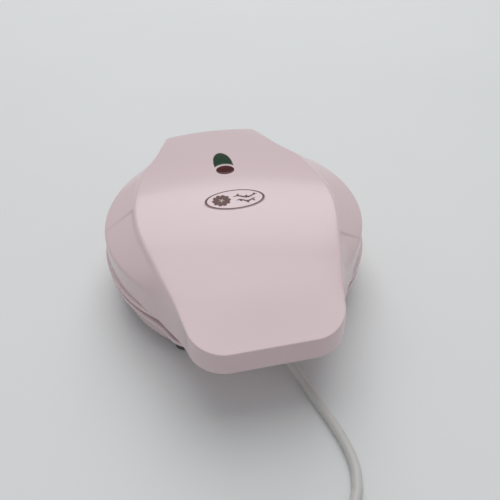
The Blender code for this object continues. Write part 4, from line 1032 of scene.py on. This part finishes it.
# ---------------------------------------------------------------- base
@dataclass
class Base:
    """Lower housing with its cover, feet and the fixed half of the hinge."""

    form: LidForm = field(default_factory=LidForm)
    inset: float = 1.2 * MM
    draft: float = 2.8 * MM
    front: float = 103.5 * MM
    rear: float = 118.0 * MM
    corner: float = 4.0 * MM
    rear_corner: float = 8.0 * MM
    top: float = 36.0 * MM
    bottom: float = 8.5 * MM
    wall: float = 2.5 * MM
    lip_radius: float = 110.5 * MM
    lip_neck: float = 5.5 * MM
    lip_front: float = 108.0 * MM
    lip_corner: float = 14.0 * MM
    lip_height: float = 4.2 * MM
    lip_sink: float = 0.3 * MM
    lip_hold: float = 2.0 * MM
    niche_depth: float = 9.5 * MM
    niche_half: float = 11.0 * MM
    niche_top: float = 22.5 * MM
    exit_x: float = 12.0 * MM
    exit_height: float = 15.0 * MM

    def wall_half(self, y: float) -> float:
        """Half width of the upper edge: round in front, as wide as the lid behind."""
        if y < 0.0:
            return math.sqrt((self.form.wing_half(0.0) - self.inset) ** 2 - y ** 2)
        return self.form.wing_half(y) - self.inset

    def lip_half(self, y: float) -> float:
        """Half width of the lip, which spreads a little under the handle's neck."""
        ring = math.sqrt(max(self.lip_radius ** 2 - y ** 2, 0.0))
        if y < 0.0:
            return soft_max(ring, self.form.band_half(y) + self.lip_neck, 5.0 * MM)
        return soft_max(ring, self.wall_half(y), 1.5 * MM)

    def stations(self, half: Callable[[float], float], front: float, corner: float) -> list:
        """Stops round an outline, from the front by +X, with true outward directions.

        Args:
            half: Half width of the outline at y.
            front: How far it reaches ahead of the centre.
            corner: Radius of its front corners.

        Returns:
            The stops, always the same number of them.
        """
        rows = [-front * math.cos(math.pi / 2 * k / 90) for k in range(91)]
        rows += [(self.rear - self.rear_corner) * k / 60 for k in range(1, 61)]
        rows += [self.rear - self.rear_corner * (1 - math.sin(math.pi / 2 * k / 8))
                 for k in range(1, 9)]
        side = []
        for y in rows:
            inset = 0.0
            for distance, radius in ((y + front, corner), (self.rear - y, self.rear_corner)):
                if distance < radius:
                    inset += radius - math.sqrt(max(radius ** 2 - (radius - distance) ** 2, 0.0))
            side.append((half(y) - inset, y))
        ahead = [(side[0][0] * (2 * k / 24 - 1), -front) for k in range(25)]
        behind = [(side[-1][0] * (1 - 2 * k / 20), self.rear) for k in range(21)]
        left = [(-x, y) for x, y in reversed(side)]
        loop = ahead + side[1:-1] + behind + left[1:-1]
        made = []
        for k, (x, y) in enumerate(loop):
            before, after = loop[k - 1], loop[(k + 1) % len(loop)]
            out = Vector((after[1] - before[1], before[0] - after[0])).normalized()
            made.append(Station(x, y, out))
        return made

    def lip(self, wall: list) -> bpy.types.Object:
        """Rounded lip round the upper edge, a step below the lid's own.

        Args:
            wall: Stops round the wall, into which it is let.

        Returns:
            The lip, to be joined to the housing.
        """
        stops = self.stations(self.lip_half, self.lip_front, self.lip_corner)
        top = self.top - self.lip_sink
        low = top - self.lip_height
        draft = MeshDraft()
        rows = [draft.add_ring([stop.offset(-self.lip_hold, low) for stop in wall])]
        for inset, height in ((1.0, low), (0.35, low + 0.25 * MM), (0.0, low + 1.1 * MM),
                              (0.0, top - 1.5 * MM), (0.25, top - 0.7 * MM),
                              (0.9, top - 0.15 * MM), (1.8, top)):
            rows.append(draft.add_ring([stop.offset(-inset * MM, height) for stop in stops]))
        rows.append(draft.add_ring([stop.offset(-self.lip_hold, top) for stop in wall]))
        for lower, upper in zip(rows, rows[1:] + rows[:1]):
            draft.bridge(lower, upper)
        return draft.build("base_lip", PINK_PLASTIC)

    def shell(self) -> None:
        """Housing with its seat for the lower plate and the niche for the lead."""
        stops = self.stations(self.wall_half, self.front, self.corner)
        plate_low, plate_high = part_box("lower_plate")
        seat_radius = (plate_high.x - plate_low.x) / 2 + 0.3 * MM
        seat = plate_high.z - 2.5 * MM - 0.3 * MM

        def circle(radius: float, height: float) -> list:
            """Ring with a point on the ray to each stop."""
            turns = [math.atan2(stop.y, stop.x) for stop in stops]
            return [(radius * math.cos(t), radius * math.sin(t), height) for t in turns]

        rings = [
            circle(seat_radius - 5.5 * MM, seat), circle(seat_radius, seat),
            circle(seat_radius, self.top - 0.6 * MM), circle(seat_radius + 0.5 * MM, self.top),
            [stop.offset(-2.8 * MM, self.top) for stop in stops],
            [stop.offset(-1.3 * MM, self.top - 0.25 * MM) for stop in stops],
            [stop.offset(-0.4 * MM, self.top - 1.1 * MM) for stop in stops],
            [stop.offset(-0.05 * MM, self.top - 2.4 * MM) for stop in stops],
        ]
        for k in range(1, 6):
            share = k / 5
            rings.append([stop.offset(-mix(0.05 * MM, self.draft, share),
                                      mix(self.top - 2.4 * MM, self.bottom, share))
                          for stop in stops])
        draft = MeshDraft()
        rows = [draft.add_ring(ring) for ring in rings]
        for inner, outer in zip(rows, rows[1:]):
            draft.bridge(outer, inner)
        housing = walled(draft.build("base_moulding", PINK_PLASTIC), self.wall)
        block = self.niche_box("niche_block", self.wall, -self.front + self.draft + 0.8 * MM,
                               self.bottom)
        cut(housing, [block, self.lip(stops)], "UNION")
        tools = [self.niche_box("niche_space", 0.0, -self.front - 10 * MM, self.bottom - 4 * MM)]
        for spot, start, end, radius in (
                ((self.exit_x, self.exit_height), -0.100, -0.087, 6.1 * MM),
                ((-0.012, 0.030), 0.110, 0.124, 3.8 * MM)):
            tools.append(self.bore("lead_hole", spot, start, end, radius))
        settle(cut(housing, tools), "base", "base_shell")

    def niche_box(self, name: str, grow: float, front: float, bottom: float) -> bpy.types.Object:
        """Block round the niche, grown on its inner sides."""
        x0, x1 = self.exit_x - self.niche_half - grow, self.exit_x + self.niche_half + grow
        back = -self.front + self.niche_depth + grow
        return prism(name, [(x0, front), (x1, front), (x1, back), (x0, back)], bottom,
                     self.niche_top + grow, PINK_PLASTIC)

    def bore(self, name: str, spot: tuple, start: float, end: float,
             radius: float) -> bpy.types.Object:
        """Round bar along Y, for a hole."""
        draft = MeshDraft()
        x, z = spot
        draft.tube([Vector((x, start, z)), Vector((x, end, z))], [radius, radius], 40)
        return draft.build(name, PINK_PLASTIC)

    def feet(self) -> None:
        """Four rubber feet with a rounded sole and a shallow hollow in it."""
        for ending in ("front_left", "front_right", "rear_left", "rear_right"):
            low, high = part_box(f"foot_{ending}")
            radius = (high.x - low.x) / 2
            top = high.z
            centre = (low + high) / 2 - CENTRE
            draft = MeshDraft()
            draft.turn([
                (0.0, top), (radius - 1.5 * MM, top), (radius - 1.3 * MM, top - 0.2 * MM),
                (radius - 0.1 * MM, 2.6 * MM), (radius, 1.9 * MM), (radius - 0.15 * MM, 0.8 * MM),
                (radius - 0.6 * MM, 0.2 * MM), (radius - 1.3 * MM, 0.0),
                (radius - 3.4 * MM, 0.0), (radius - 4.0 * MM, 0.7 * MM), (0.0, 0.9 * MM)], 48)
            place = Matrix.Translation((centre.x, centre.y, 0.0))
            settle(draft.build(f"rubber_foot_{ending}", FOOT_RUBBER, place), "base",
                   f"foot_{ending}")

    def build(self) -> None:
        """Make every piece of the base."""
        self.shell()
        self.feet()
        soft_copy("bottom_cover", "bottom_plate", PINK_MATT, 0.4 * MM)
        for side in ("left", "right"):
            soft_copy(f"hinge_arm_{side}", f"hinge_knuckle_{side}", PINK_PLASTIC, 0.7 * MM, 3)
            soft_copy(f"hinge_pin_{side}", f"hinge_rod_{side}", ZINC_STEEL, 0.4 * MM)


# ---------------------------------------------------------------- cooking plates
@dataclass
class CookingPlates:
    """The two cast plates with their five hearts."""

    hearts: int = 5
    flange: float = 2.5 * MM
    pan_radius: float = 88.0 * MM
    depth: float = 10.0 * MM
    pan_wall: float = 3.0 * MM
    lobe: float = 80.0 * MM
    lobe_wave: float = 3.6 * MM
    rib_pitch: float = 16.0 * MM
    rib_height: float = 5.0 * MM
    rib_top: float = 2.2 * MM
    rib_foot: float = 4.2 * MM
    divider_height: float = 7.5 * MM
    hub: float = 9.0 * MM

    def lobe_radius(self, turn: float) -> float:
        """Edge of the cavity; turn is measured from the middle line of a heart."""
        return (self.lobe - self.lobe_wave * math.cos(2 * math.tau * turn / self.sector())
                - 2.6 * MM * math.exp(-(turn / 0.1) ** 2))

    def sector(self) -> float:
        """Angle that one heart takes."""
        return math.tau / self.hearts

    def cavity(self, radius: float) -> MeshDraft:
        """Plate without ribs, with the lower plate's face at height 0."""
        steps = 360
        floor = -self.depth
        draft = MeshDraft()
        wall = [(-4.5, floor), (-3.4, floor + 0.35 * MM), (-2.6, floor + 1.1 * MM),
                (-2.2, floor + 2.4 * MM), (-1.2, -1.6 * MM), (-0.8, -0.7 * MM), (0.0, 0.0)]
        rows = [draft.add_ring([(0.0, 0.0, floor)]) * steps]
        for share in (0.12, 0.35, 0.6, 0.8):
            rows.append(draft.add_ring([self.spot(k / steps, share, 0.0, floor)
                                        for k in range(steps)]))
        for distance, height in wall:
            rows.append(draft.add_ring([self.spot(k / steps, 1.0, distance * MM, height)
                                        for k in range(steps)]))
        back = -self.depth - self.pan_wall
        outer = [(radius - 0.5 * MM, 0.0), (radius, -0.5 * MM), (radius, -self.flange + 0.4 * MM),
                 (radius - 0.4 * MM, -self.flange), (self.pan_radius, -self.flange),
                 (self.pan_radius - 1.2 * MM, back + 1.0 * MM), (self.pan_radius - 2.2 * MM, back)]
        for ring_radius, height in outer:
            rows.append(draft.add_ring([
                (ring_radius * math.cos(math.tau * k / steps),
                 ring_radius * math.sin(math.tau * k / steps), height) for k in range(steps)]))
        rows.append(draft.add_ring([(0.0, 0.0, back)]) * steps)
        for low, high in zip(rows, rows[1:]):
            for k in range(steps):
                after = (k + 1) % steps
                face = tuple(dict.fromkeys((low[k], high[k], high[after], low[after])))
                draft.faces.append(face)
        return draft

    def spot(self, share_round: float, share_out: float, distance: float, height: float) -> tuple:
        """Point of the cavity at a share of the way round and out."""
        turn = math.tau * share_round
        local = (turn - math.pi / 2 + self.sector() / 2) % self.sector() - self.sector() / 2
        radius = self.lobe_radius(local) * share_out + distance
        return (radius * math.cos(turn), radius * math.sin(turn), height)

    def bar(self, draft: MeshDraft, start: Vector, end: Vector, top: float, foot: float,
            height: float) -> None:
        """Add a rib with sloping sides between two points of the floor."""
        way = (end - start).normalized()
        across = Vector((-way.y, way.x))
        low = -self.depth - 0.6 * MM
        high = -self.depth + height
        rings = []
        for point in (start, end):
            section = [(foot / 2, low), (top / 2, high - 0.5 * MM), (top / 2 - 0.5 * MM, high),
                       (-top / 2 + 0.5 * MM, high), (-top / 2, high - 0.5 * MM), (-foot / 2, low)]
            rings.append(draft.add_ring([
                (point.x + across.x * w, point.y + across.y * w, h) for w, h in section]))
        draft.bridge(rings[0], rings[1])
        draft.cap(rings[0], flip=True)
        draft.cap(rings[1])

    def heart_ribs(self) -> MeshDraft:
        """Ribs of one heart and the divider on its one side, for the heart along +Y."""
        draft = MeshDraft()
        half = self.sector() / 2
        sides = [Vector((math.sin(half), math.cos(half))), Vector((-math.sin(half), math.cos(half)))]
        for one, other in (sides, sides[::-1]):
            k = 1
            while k * self.rib_pitch < self.lobe - 8 * MM:
                start = one * (k * self.rib_pitch)
                end = start
                while end.length < self.lobe_radius(math.atan2(end.x, end.y)) - 1.5 * MM:
                    end = end + other * MM
                    if abs(math.atan2(end.x, end.y)) > half:
                        break
                if (end - start).length > 6 * MM:
                    self.bar(draft, start, end, self.rib_top, self.rib_foot, self.rib_height)
                k += 1
        reach = self.lobe_radius(half) + 1.0 * MM
        self.bar(draft, Vector((0.0, 0.0)), sides[0] * reach, 2.0 * MM, 5.0 * MM,
                 self.divider_height)
        return draft

    def repeated(self, ribs: bpy.types.Object, count: int) -> bpy.types.Object:
        """Copies of one heart's ribs round the hub, made with Geometry Nodes.

        Args:
            ribs: Ribs of the first heart.
            count: Number of hearts.

        Returns:
            One mesh with the ribs of every heart.
        """
        tree = node_group("hearts_round_hub", {"Ribs": "Object", "Hearts": "Int",
                                               "Finish": "Material"})
        given = add_node(tree, "NodeGroupInput")
        source = add_node(tree, "GeometryNodeObjectInfo", {"Object": given.outputs["Ribs"]})
        spots = add_node(tree, "GeometryNodePoints", {"Count": given.outputs["Hearts"]})
        number = add_node(tree, "GeometryNodeInputIndex")
        angle = add_node(tree, "ShaderNodeMath", {
            0: number.outputs[0], 1: math.tau / count}, operation="MULTIPLY")
        copies_on(tree, spots.outputs[0], source.outputs["Geometry"], angle.outputs[0],
                  given.outputs["Finish"])
        host = bpy.data.objects.new("ribs_of_all_hearts", bpy.data.meshes.new("ribs"))
        bpy.context.scene.collection.objects.link(host)
        grown_on(host, tree, {"Ribs": ribs, "Hearts": count, "Finish": NON_STICK.material()}, ribs)
        return host

    def build(self) -> None:
        """Make both plates: the upper one is the lower one turned over."""
        low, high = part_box("lower_plate")
        radius = (high.x - low.x) / 2
        lower = self.cavity(radius).build("lower_cooking_plate", NON_STICK, crease_deg=30)
        ribs = self.heart_ribs().build("heart_ribs", NON_STICK)
        ribs.data.transform(Matrix.Translation(-CENTRE))
        all_ribs = self.repeated(ribs, self.hearts)
        hub = MeshDraft()
        hub_top = -self.depth + self.divider_height
        hub.turn([(0.0, hub_top), (self.hub - 1.2 * MM, hub_top), (self.hub - 0.4 * MM, hub_top - 0.5 * MM),
                  (self.hub + 0.8 * MM, -self.depth - 0.6 * MM), (0.0, -self.depth - 0.6 * MM)], 60)
        hub_piece = hub.build("plate_hub", NON_STICK)
        all_ribs.data.transform(Matrix.Translation(CENTRE))
        cut(lower, [all_ribs, hub_piece], "UNION")
        lower.data.set_sharp_from_angle(angle=math.radians(30))
        data = lower.data.copy()
        upper = bpy.data.objects.new("upper_cooking_plate", data)
        bpy.context.scene.collection.objects.link(upper)
        lower.data.transform(Matrix.Translation((0.0, 0.0, high.z)))
        upper_low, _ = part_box("upper_plate")
        data.transform(Matrix.Translation((0.0, 0.0, upper_low.z)) @ Matrix.Diagonal((1, 1, -1, 1)))
        data.flip_normals()
        settle(lower, "base", "lower_plate")
        settle(upper, "lid", "upper_plate")


# ---------------------------------------------------------------- small metal pieces
@dataclass
class Fasteners:
    """Pan-head screws with a cross recess."""

    head_radius: float = 3.6 * MM
    head_height: float = 2.2 * MM
    shank_radius: float = 1.9 * MM
    recess: float = 1.3 * MM

    def pattern(self, length: float) -> bpy.types.Object:
        """One screw with its head's seat at height 0 and its shank upwards."""
        r, h = self.head_radius, self.head_height
        draft = MeshDraft()
        shank = [(0.0, length), (self.shank_radius * 0.55, length),
                 (self.shank_radius, length - 1.4 * MM)]
        pitch = 0.8 * MM
        turns = int((length - 2.2 * MM) / pitch)
        for k in range(turns):
            z = length - 1.4 * MM - k * pitch
            shank += [(self.shank_radius, z - 0.1 * MM), (self.shank_radius * 0.8, z - 0.4 * MM),
                      (self.shank_radius, z - 0.75 * MM)]
        head = [(self.shank_radius, 0.0), (r, 0.0), (r, -0.35 * h), (0.93 * r, -0.65 * h),
                (0.75 * r, -0.88 * h), (0.45 * r, -h), (0.0, -h)]
        draft.turn(shank + head, 28)
        screw = draft.build("screw_pattern", ZINC_STEEL)
        arm, half = 2.0 * MM, 0.42 * MM
        bars = [prism("cross", [(-a, -b), (a, -b), (a, b), (-a, b)], -h - MM, -h + self.recess,
                      ZINC_STEEL) for a, b in ((arm, half), (half, arm))]
        cut(screw, bars)
        screw.data.transform(Matrix.Translation(-CENTRE))
        return screw

    def placed(self, name: str, body: str, nodes: list, head_down: bool) -> None:
        """Screws at the places of CAD nodes, made with Geometry Nodes.

        Args:
            name: Name of the piece.
            body: Body that the screws ride on.
            nodes: CAD nodes of the screws, all of one length.
            head_down: Whether the heads are at the lower end.
        """
        low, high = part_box(nodes[0])
        pattern = self.pattern(high.z - low.z - self.head_height)
        if not head_down:
            pattern.data.transform(Matrix.Rotation(math.pi, 4, "X"))
        spots = []
        for node in nodes:
            low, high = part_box(node)
            middle = (low + high) / 2
            seat = low.z + self.head_height if head_down else high.z - self.head_height
            spots.append((middle.x, middle.y, seat))
        data = bpy.data.meshes.new(name)
        data.from_pydata(spots, [], [])
        made = bpy.data.objects.new(name, data)
        bpy.context.scene.collection.objects.link(made)
        grown_on(made, self.tree(), {"Screw": pattern, "Turn": 0.9, "Seed": 7,
                                     "Finish": ZINC_STEEL.material()}, pattern)
        made.data.shade_smooth()
        made.data.set_sharp_from_angle(angle=math.radians(35))
        settle(made, body, *nodes)

    def tree(self) -> bpy.types.NodeTree:
        """Node tree that puts a screw on every point, each turned its own way."""
        known = bpy.data.node_groups.get("screws_on_points")
        if known is not None:
            return known
        tree = node_group("screws_on_points", {
            "Geometry": "Geometry", "Screw": "Object", "Turn": "Float", "Seed": "Int",
            "Finish": "Material"})
        given = add_node(tree, "NodeGroupInput")
        source = add_node(tree, "GeometryNodeObjectInfo", {"Object": given.outputs["Screw"]})
        angle = add_node(tree, "FunctionNodeRandomValue", {
            "Min": 0.0, "Max": given.outputs["Turn"], "Seed": given.outputs["Seed"]},
            data_type="FLOAT")
        copies_on(tree, given.outputs["Geometry"], source.outputs["Geometry"],
                  angle.outputs["Value"], given.outputs["Finish"])
        return tree

    def build(self) -> None:
        """Make every screw."""
        self.placed("base_screws", "base", [f"cover_screw_{k}" for k in range(1, 5)], True)
        self.placed("handle_screws", "lid", ["handle_screw_left", "handle_screw_right"], True)
        self.placed("lower_plate_screws", "base",
                    [f"lower_plate_screw_{k}" for k in range(1, 4)], True)
        self.placed("upper_plate_screws", "lid",
                    [f"upper_plate_screw_{k}" for k in range(1, 4)], False)


# ---------------------------------------------------------------- mains lead
def smooth_line(points: list, steps: int) -> list:
    """Points of a smooth curve through given points.

    Args:
        points: The given points, as vectors.
        steps: Number of pieces between two of them.

    Returns:
        The curve's points, with the given ones among them.
    """
    ends = [2 * points[0] - points[1], *points, 2 * points[-1] - points[-2]]
    made = []
    for a, b, c, d in zip(ends, ends[1:], ends[2:], ends[3:]):
        for k in range(steps):
            t = k / steps
            made.append(0.5 * (2 * b + (c - a) * t + (2 * a - 5 * b + 4 * c - d) * t ** 2
                               + (3 * b - a - 3 * c + d) * t ** 3))
    return [*made, points[-1]]


@dataclass
class MainsLead:
    """White lead from its strain relief to the plug, with the rest of it in a coil."""

    radius: float = 3.4 * MM
    rest: float = 3.5 * MM
    coil_centre: Vector = field(default_factory=lambda: Vector((0.046, -0.274, 0.0)))
    coil_radius: float = 36.0 * MM
    coil_shift: float = 3.6 * MM
    arrival: float = math.radians(153)
    leave: float = math.radians(115)
    upper_turn: float = 9.6 * MM
    hump: float = 10.8 * MM
    tail_height: float = 11.0 * MM
    tail_length: float = 13.0 * MM
    tie_turn: float = math.radians(300)
    tie_lift: float = 0.9 * MM
    boot_points: int = 5
    exit_x: float = 12.0 * MM
    exit_height: float = 15.0 * MM

    def route(self) -> list:
        """Points of the lead before its coil, in the body's own frame."""
        x, z, rest = self.exit_x, self.exit_height, self.rest
        return [Vector(point) for point in (
            (x, -0.0914, z), (x, -0.0975, z), (x + 0.0007, -0.1040, 0.0146),
            (x + 0.0024, -0.1100, 0.0136), (x + 0.0052, -0.1160, 0.0119),
            (0.0204, -0.1220, 0.0094), (0.0235, -0.1285, 0.0068), (0.0266, -0.1360, 0.0048),
            (0.0298, -0.1465, 0.0037), (0.0344, -0.1615, rest), (0.0381, -0.1746, rest),
            (0.0405, -0.1861, rest), (0.0416, -0.1970, rest), (0.0409, -0.2060, rest),
            (0.0385, -0.2140, rest), (0.0348, -0.2215, rest))]

    def on_coil(self, radius: float, turn: float, height: float) -> Vector:
        """Point of the coil."""
        return self.coil_centre + Vector((radius * math.cos(turn), radius * math.sin(turn), height))

    def coil(self) -> list:
        """Points of the three turns: two on the table and one in the groove over them."""
        outer, inner = self.coil_radius + self.coil_shift, self.coil_radius - self.coil_shift
        total = 3 * 360.0 + math.degrees(self.leave - self.arrival)
        points = []
        steps = int(total / 6)
        for k in range(steps + 1):
            gone = total * k / steps
            radius = mix(outer, inner, smoothstep((gone - 300) / 60))
            radius = mix(radius, self.coil_radius, smoothstep((gone - 612) / 48))
            height = mix(self.rest, self.upper_turn, smoothstep((gone - 588) / 52))
            height += (self.hump - self.upper_turn) * (smoothstep((gone - 625) / 30)
                                                       - smoothstep((gone - 712) / 30))
            height += (self.tail_height - self.upper_turn) * smoothstep((gone - total + 45) / 40)
            turn = self.arrival + math.radians(gone)
            apart = (turn - self.tie_turn + math.pi) % math.tau - math.pi
            height += self.tie_lift * math.exp(-(apart / 0.22) ** 2)
            points.append(self.on_coil(radius, turn, height))
        return points

    def tail(self) -> tuple:
        """End of the lead at the plug, and the direction in which it gets there."""
        reach = self.coil_radius + self.coil_shift + 2 * self.radius + 0.3 * MM
        ahead = math.sqrt(reach ** 2 - self.coil_radius ** 2) + 0.6 * MM + self.tail_length
        heading = Vector((-math.sin(self.leave), math.cos(self.leave), 0.0))
        start = self.on_coil(self.coil_radius, self.leave, self.tail_height)
        return start + heading * ahead, heading

    def line(self) -> list:
        """The whole centreline, from inside the strain relief to the plug."""
        lead_in = self.route()[2:]
        coil = self.coil()
        end, heading = self.tail()
        tail = [end - heading * 26 * MM, end - heading * 13 * MM, end]
        return smooth_line([*lead_in, *coil, *tail], 6)

    def flex(self) -> bpy.types.Object:
        """The lead itself, one open spline."""
        points = [point + CENTRE for point in self.line()]
        data = bpy.data.curves.new("mains_flex", "CURVE")
        data.dimensions = "3D"
        data.bevel_depth = self.radius
        data.bevel_resolution = 6
        data.use_fill_caps = True
        spline = data.splines.new("POLY")
        spline.points.add(len(points) - 1)
        for target, point in zip(spline.points, points):
            target.co = (*point, 1.0)
        spline.use_smooth = True
        made = bpy.data.objects.new("mains_flex", data)
        bpy.context.scene.collection.objects.link(made)
        dress(made, WHITE_PVC)
        return settle(made, "base", "cord_lead", "cord_coil", "cord_tail")

    def boot(self) -> bpy.types.Object:
        """Tapered strain relief with ribs round it."""
        path = smooth_line(self.route()[:self.boot_points], 14)
        radii = []
        ribs = 6
        for k in range(len(path)):
            share = k / (len(path) - 1)
            plain = mix(5.75, 4.45, share) * MM
            groove = 0.5 * MM * max(0.0, math.cos(math.tau * ribs * share)) ** 2
            radii.append(plain - groove * (0.12 < share < 0.93))
        radii[-1] -= 0.4 * MM
        draft = MeshDraft()
        draft.tube(path, radii, 36)
        return settle(draft.build("strain_relief_boot", WHITE_PVC, crease_deg=60), "base",
                      "strain_relief")

    def plug(self) -> list:
        """Round moulded plug with grip ribs, and its two pins."""
        low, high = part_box("plug_body")
        radius, boot, grip, head = 18.7 * MM, 22 * MM, 24 * MM, 18 * MM
        start, heading = self.tail()
        start = start + heading * 0.9 * MM
        body = boot + grip + head
        tilt = math.asin((radius * 0.99 - self.tail_height) / (boot + grip + 4 * MM))
        axis = Vector((heading.x * math.cos(tilt), heading.y * math.cos(tilt), math.sin(tilt)))
        waist = [(10.6, 4.5), (11.6, 9.0), (12.6, 14.0)]
        section = [
            (0.0, body - 2.0 * MM), (12.2 * MM, body - 2.0 * MM), (13.0 * MM, body - 0.4 * MM),
            (13.6 * MM, body), (radius - 1.2 * MM, body), (radius - 0.4 * MM, body - 0.35 * MM),
            (radius, body - 1.2 * MM), (radius, boot + grip + 4.2 * MM),
            (radius - 0.5 * MM, boot + grip + 2.6 * MM), (radius - 2.2 * MM, boot + grip)]
        section += [(r * MM, boot + z * MM) for r, z in reversed(waist)]
        section += [(7.4 * MM, boot), (6.7 * MM, boot - 2.0 * MM)]
        for k in range(5):
            z = boot - (3.4 + 3.4 * k) * MM
            section += [(6.5 * MM - 0.2 * k * MM, z), (5.6 * MM - 0.2 * k * MM, z - 0.9 * MM),
                        (5.6 * MM - 0.2 * k * MM, z - 1.6 * MM),
                        (6.3 * MM - 0.2 * k * MM, z - 2.4 * MM)]
        section += [(5.0 * MM, 0.3 * MM), (4.4 * MM, 0.0), (0.0, 0.0)]
        draft = MeshDraft()
        draft.turn(section, 96)
        aim = Vector((0, 0, 1)).rotation_difference(axis).to_matrix().to_4x4()
        place = Matrix.Translation(start) @ aim
        made = draft.build("moulded_plug", WHITE_PVC, place, crease_deg=35)
        pieces = [settle(made, "base", "plug_body")]
        for side in ("left", "right"):
            node = f"plug_pin_{side}"
            pin_low, pin_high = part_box(node)
            middle = (pin_low + pin_high) / 2 - CENTRE
            pin = MeshDraft()
            half, r = 9.5 * MM, 2.4 * MM
            pin.turn([(0.0, half), (0.9 * MM, half - 0.05 * MM), (1.8 * MM, half - 0.7 * MM),
                      (r, half - 2.0 * MM), (r, -half), (0.0, -half)], 36)
            piece = pin.build(f"plug_contact_{side}", NICKEL_BRASS,
                              Matrix.Translation(middle) @ aim)
            pieces.append(settle(piece, "base", node))
        return pieces

    def tie(self) -> bpy.types.Object:
        """Strap that holds the turns of the coil together."""
        way = Vector((math.cos(self.tie_turn), math.sin(self.tie_turn), 0.0))
        along = Vector((-way.y, way.x, 0.0))
        lift, r = self.tie_lift, self.radius + 0.15 * MM
        spots = [(self.coil_radius + self.coil_shift, self.rest + lift),
                 (self.coil_radius, self.upper_turn + lift),
                 (self.coil_radius - self.coil_shift, self.rest + lift)]
        loop = []
        for (x, z), start, end in zip(spots, (-90, 29, 151), (29, 151, 270)):
            loop += arc((x, z), r, math.radians(start), math.radians(end), 12)
        thick, half_width = 0.55 * MM, 2.5 * MM
        middle = Vector((self.coil_radius, self.rest + 0.4 * (self.upper_turn - self.rest) + lift))
        draft = MeshDraft()
        rows = []
        for grow, across in ((0.0, -half_width), (thick, -half_width), (thick, half_width),
                             (0.0, half_width)):
            ring = []
            for x, z in loop:
                out = (Vector((x, z)) - middle).normalized() * grow
                spot = self.coil_centre + way * (x + out.x) + along * across
                ring.append((spot.x, spot.y, max(z + out.y, 0.05 * MM)))
            rows.append(draft.add_ring(ring))
        for low, high in zip(rows, rows[1:] + rows[:1]):
            draft.bridge(low, high)
        return settle(draft.build("cord_tie", FOOT_RUBBER, crease_deg=50), "base",
                      slot="foot_rubber")

    def build(self) -> None:
        """Make the lead and what is on it."""
        flex = self.flex()
        boot = self.boot()
        pieces = [boot, *self.plug(), self.tie()]
        line = self.line()


# ---------------------------------------------------------------- carried pieces
def dress_carried() -> None:
    """Give the CAD nodes that stay in sight their finishes."""
    finishes = {
        "lamp_board": LAMP_BOARD, "neon_red": NEON_GLASS, "neon_green": NEON_GLASS,
        "upper_element": HEATED_STEEL, "lower_element": HEATED_STEEL,
        "upper_reflector": BRIGHT_SHEET, "lower_reflector": BRIGHT_SHEET,
        "thermostat": STEATITE, "terminal_block": STEATITE, "cord_clamp": STEATITE,
        "thermal_fuse": NICKEL_BRASS, "lead_sleeve_base": SLEEVING, "lead_sleeve_lid": SLEEVING,
    }
    for name, finish in finishes.items():
        dress(frame["nodes"][name], finish)
        log.info("%s keeps its CAD shape", name)


# ---------------------------------------------------------------- studio
@dataclass
class Studio:
    """Floor, light and camera."""

    camera_place: Vector = field(
        default_factory=lambda: Vector((-0.0504, -0.3277, 0.3248)))
    yaw: float = math.radians(11.04)
    pitch: float = math.radians(42.5)
    roll: float = math.radians(-0.92)
    lens: float = 35.46

    def floor(self) -> None:
        """Large pale sheet to stand on."""
        bpy.ops.mesh.primitive_plane_add(size=6.0)
        sheet = bpy.context.object
        sheet.name = "studio_floor"
        dress(sheet, Finish("studio_paper", "#e9ebea", "#e4e6e6", 0.7, Grain.SPARKED, 3.0, 0.02,
                            tone_mm=400.0, gloss_spread=0.02))

    def light(self, name: str, place: tuple, aim: tuple, size: tuple, power: float,
              colour: tuple = (1.0, 1.0, 1.0)) -> None:
        """Soft rectangular lamp."""
        data = bpy.data.lights.new(name, "AREA")
        data.shape = "RECTANGLE"
        data.size, data.size_y = size
        data.energy = power
        data.color = colour
        lamp = bpy.data.objects.new(name, data)
        lamp.location = place
        lamp.rotation_mode = "QUATERNION"
        way = Vector(aim) - Vector(place)
        lamp.rotation_quaternion = way.to_track_quat("-Z", "Y")
        bpy.context.scene.collection.objects.link(lamp)

    def camera(self) -> None:
        """Camera that looks down on the lid from the handle's side."""
        data = bpy.data.cameras.new("camera")
        data.lens = self.lens
        data.sensor_width = 36.0
        data.clip_start = 0.01
        made = bpy.data.objects.new("camera", data)
        ahead = Vector((math.sin(self.yaw) * math.cos(self.pitch),
                        math.cos(self.yaw) * math.cos(self.pitch), -math.sin(self.pitch)))
        right = Vector((math.cos(self.yaw), -math.sin(self.yaw), 0.0))
        up = right.cross(ahead)
        turned_right = math.cos(self.roll) * right + math.sin(self.roll) * up
        turned_up = -math.sin(self.roll) * right + math.cos(self.roll) * up
        axes = Matrix((turned_right, turned_up, -ahead)).transposed().to_4x4()
        made.matrix_world = Matrix.Translation(self.camera_place + CENTRE) @ axes
        bpy.context.scene.collection.objects.link(made)
        bpy.context.scene.camera = made

    def build(self) -> None:
        """Set the studio up."""
        self.floor()
        self.camera()
        world = bpy.data.worlds.new("studio_air")
        world.use_nodes = True
        world.node_tree.nodes["Background"].inputs["Color"].default_value = (0.95, 0.97, 1.0, 1.0)
        world.node_tree.nodes["Background"].inputs["Strength"].default_value = 0.40
        bpy.context.scene.world = world
        bpy.context.scene.view_settings.view_transform = "Standard"
        self.light("window", (0.8, 4.48, 3.75), (0.0, 0.0, 0.0), (4.6, 2.2), 68.0)
        self.light("ceiling", (0.25, 1.0, 3.4), (0.0, 0.0, 0.0), (3.0, 2.6), 44.0)


def main() -> None:
    """Build the waffle maker's looks round its frame."""
    logging.basicConfig(level=logging.INFO, format="%(name)s: %(message)s")
    Studio().build()
    MainsLead().build()
    Lid().build()
    Base().build()
    CookingPlates().build()
    Fasteners().build()
    dress_carried()


if __name__ == "__main__":
    main()
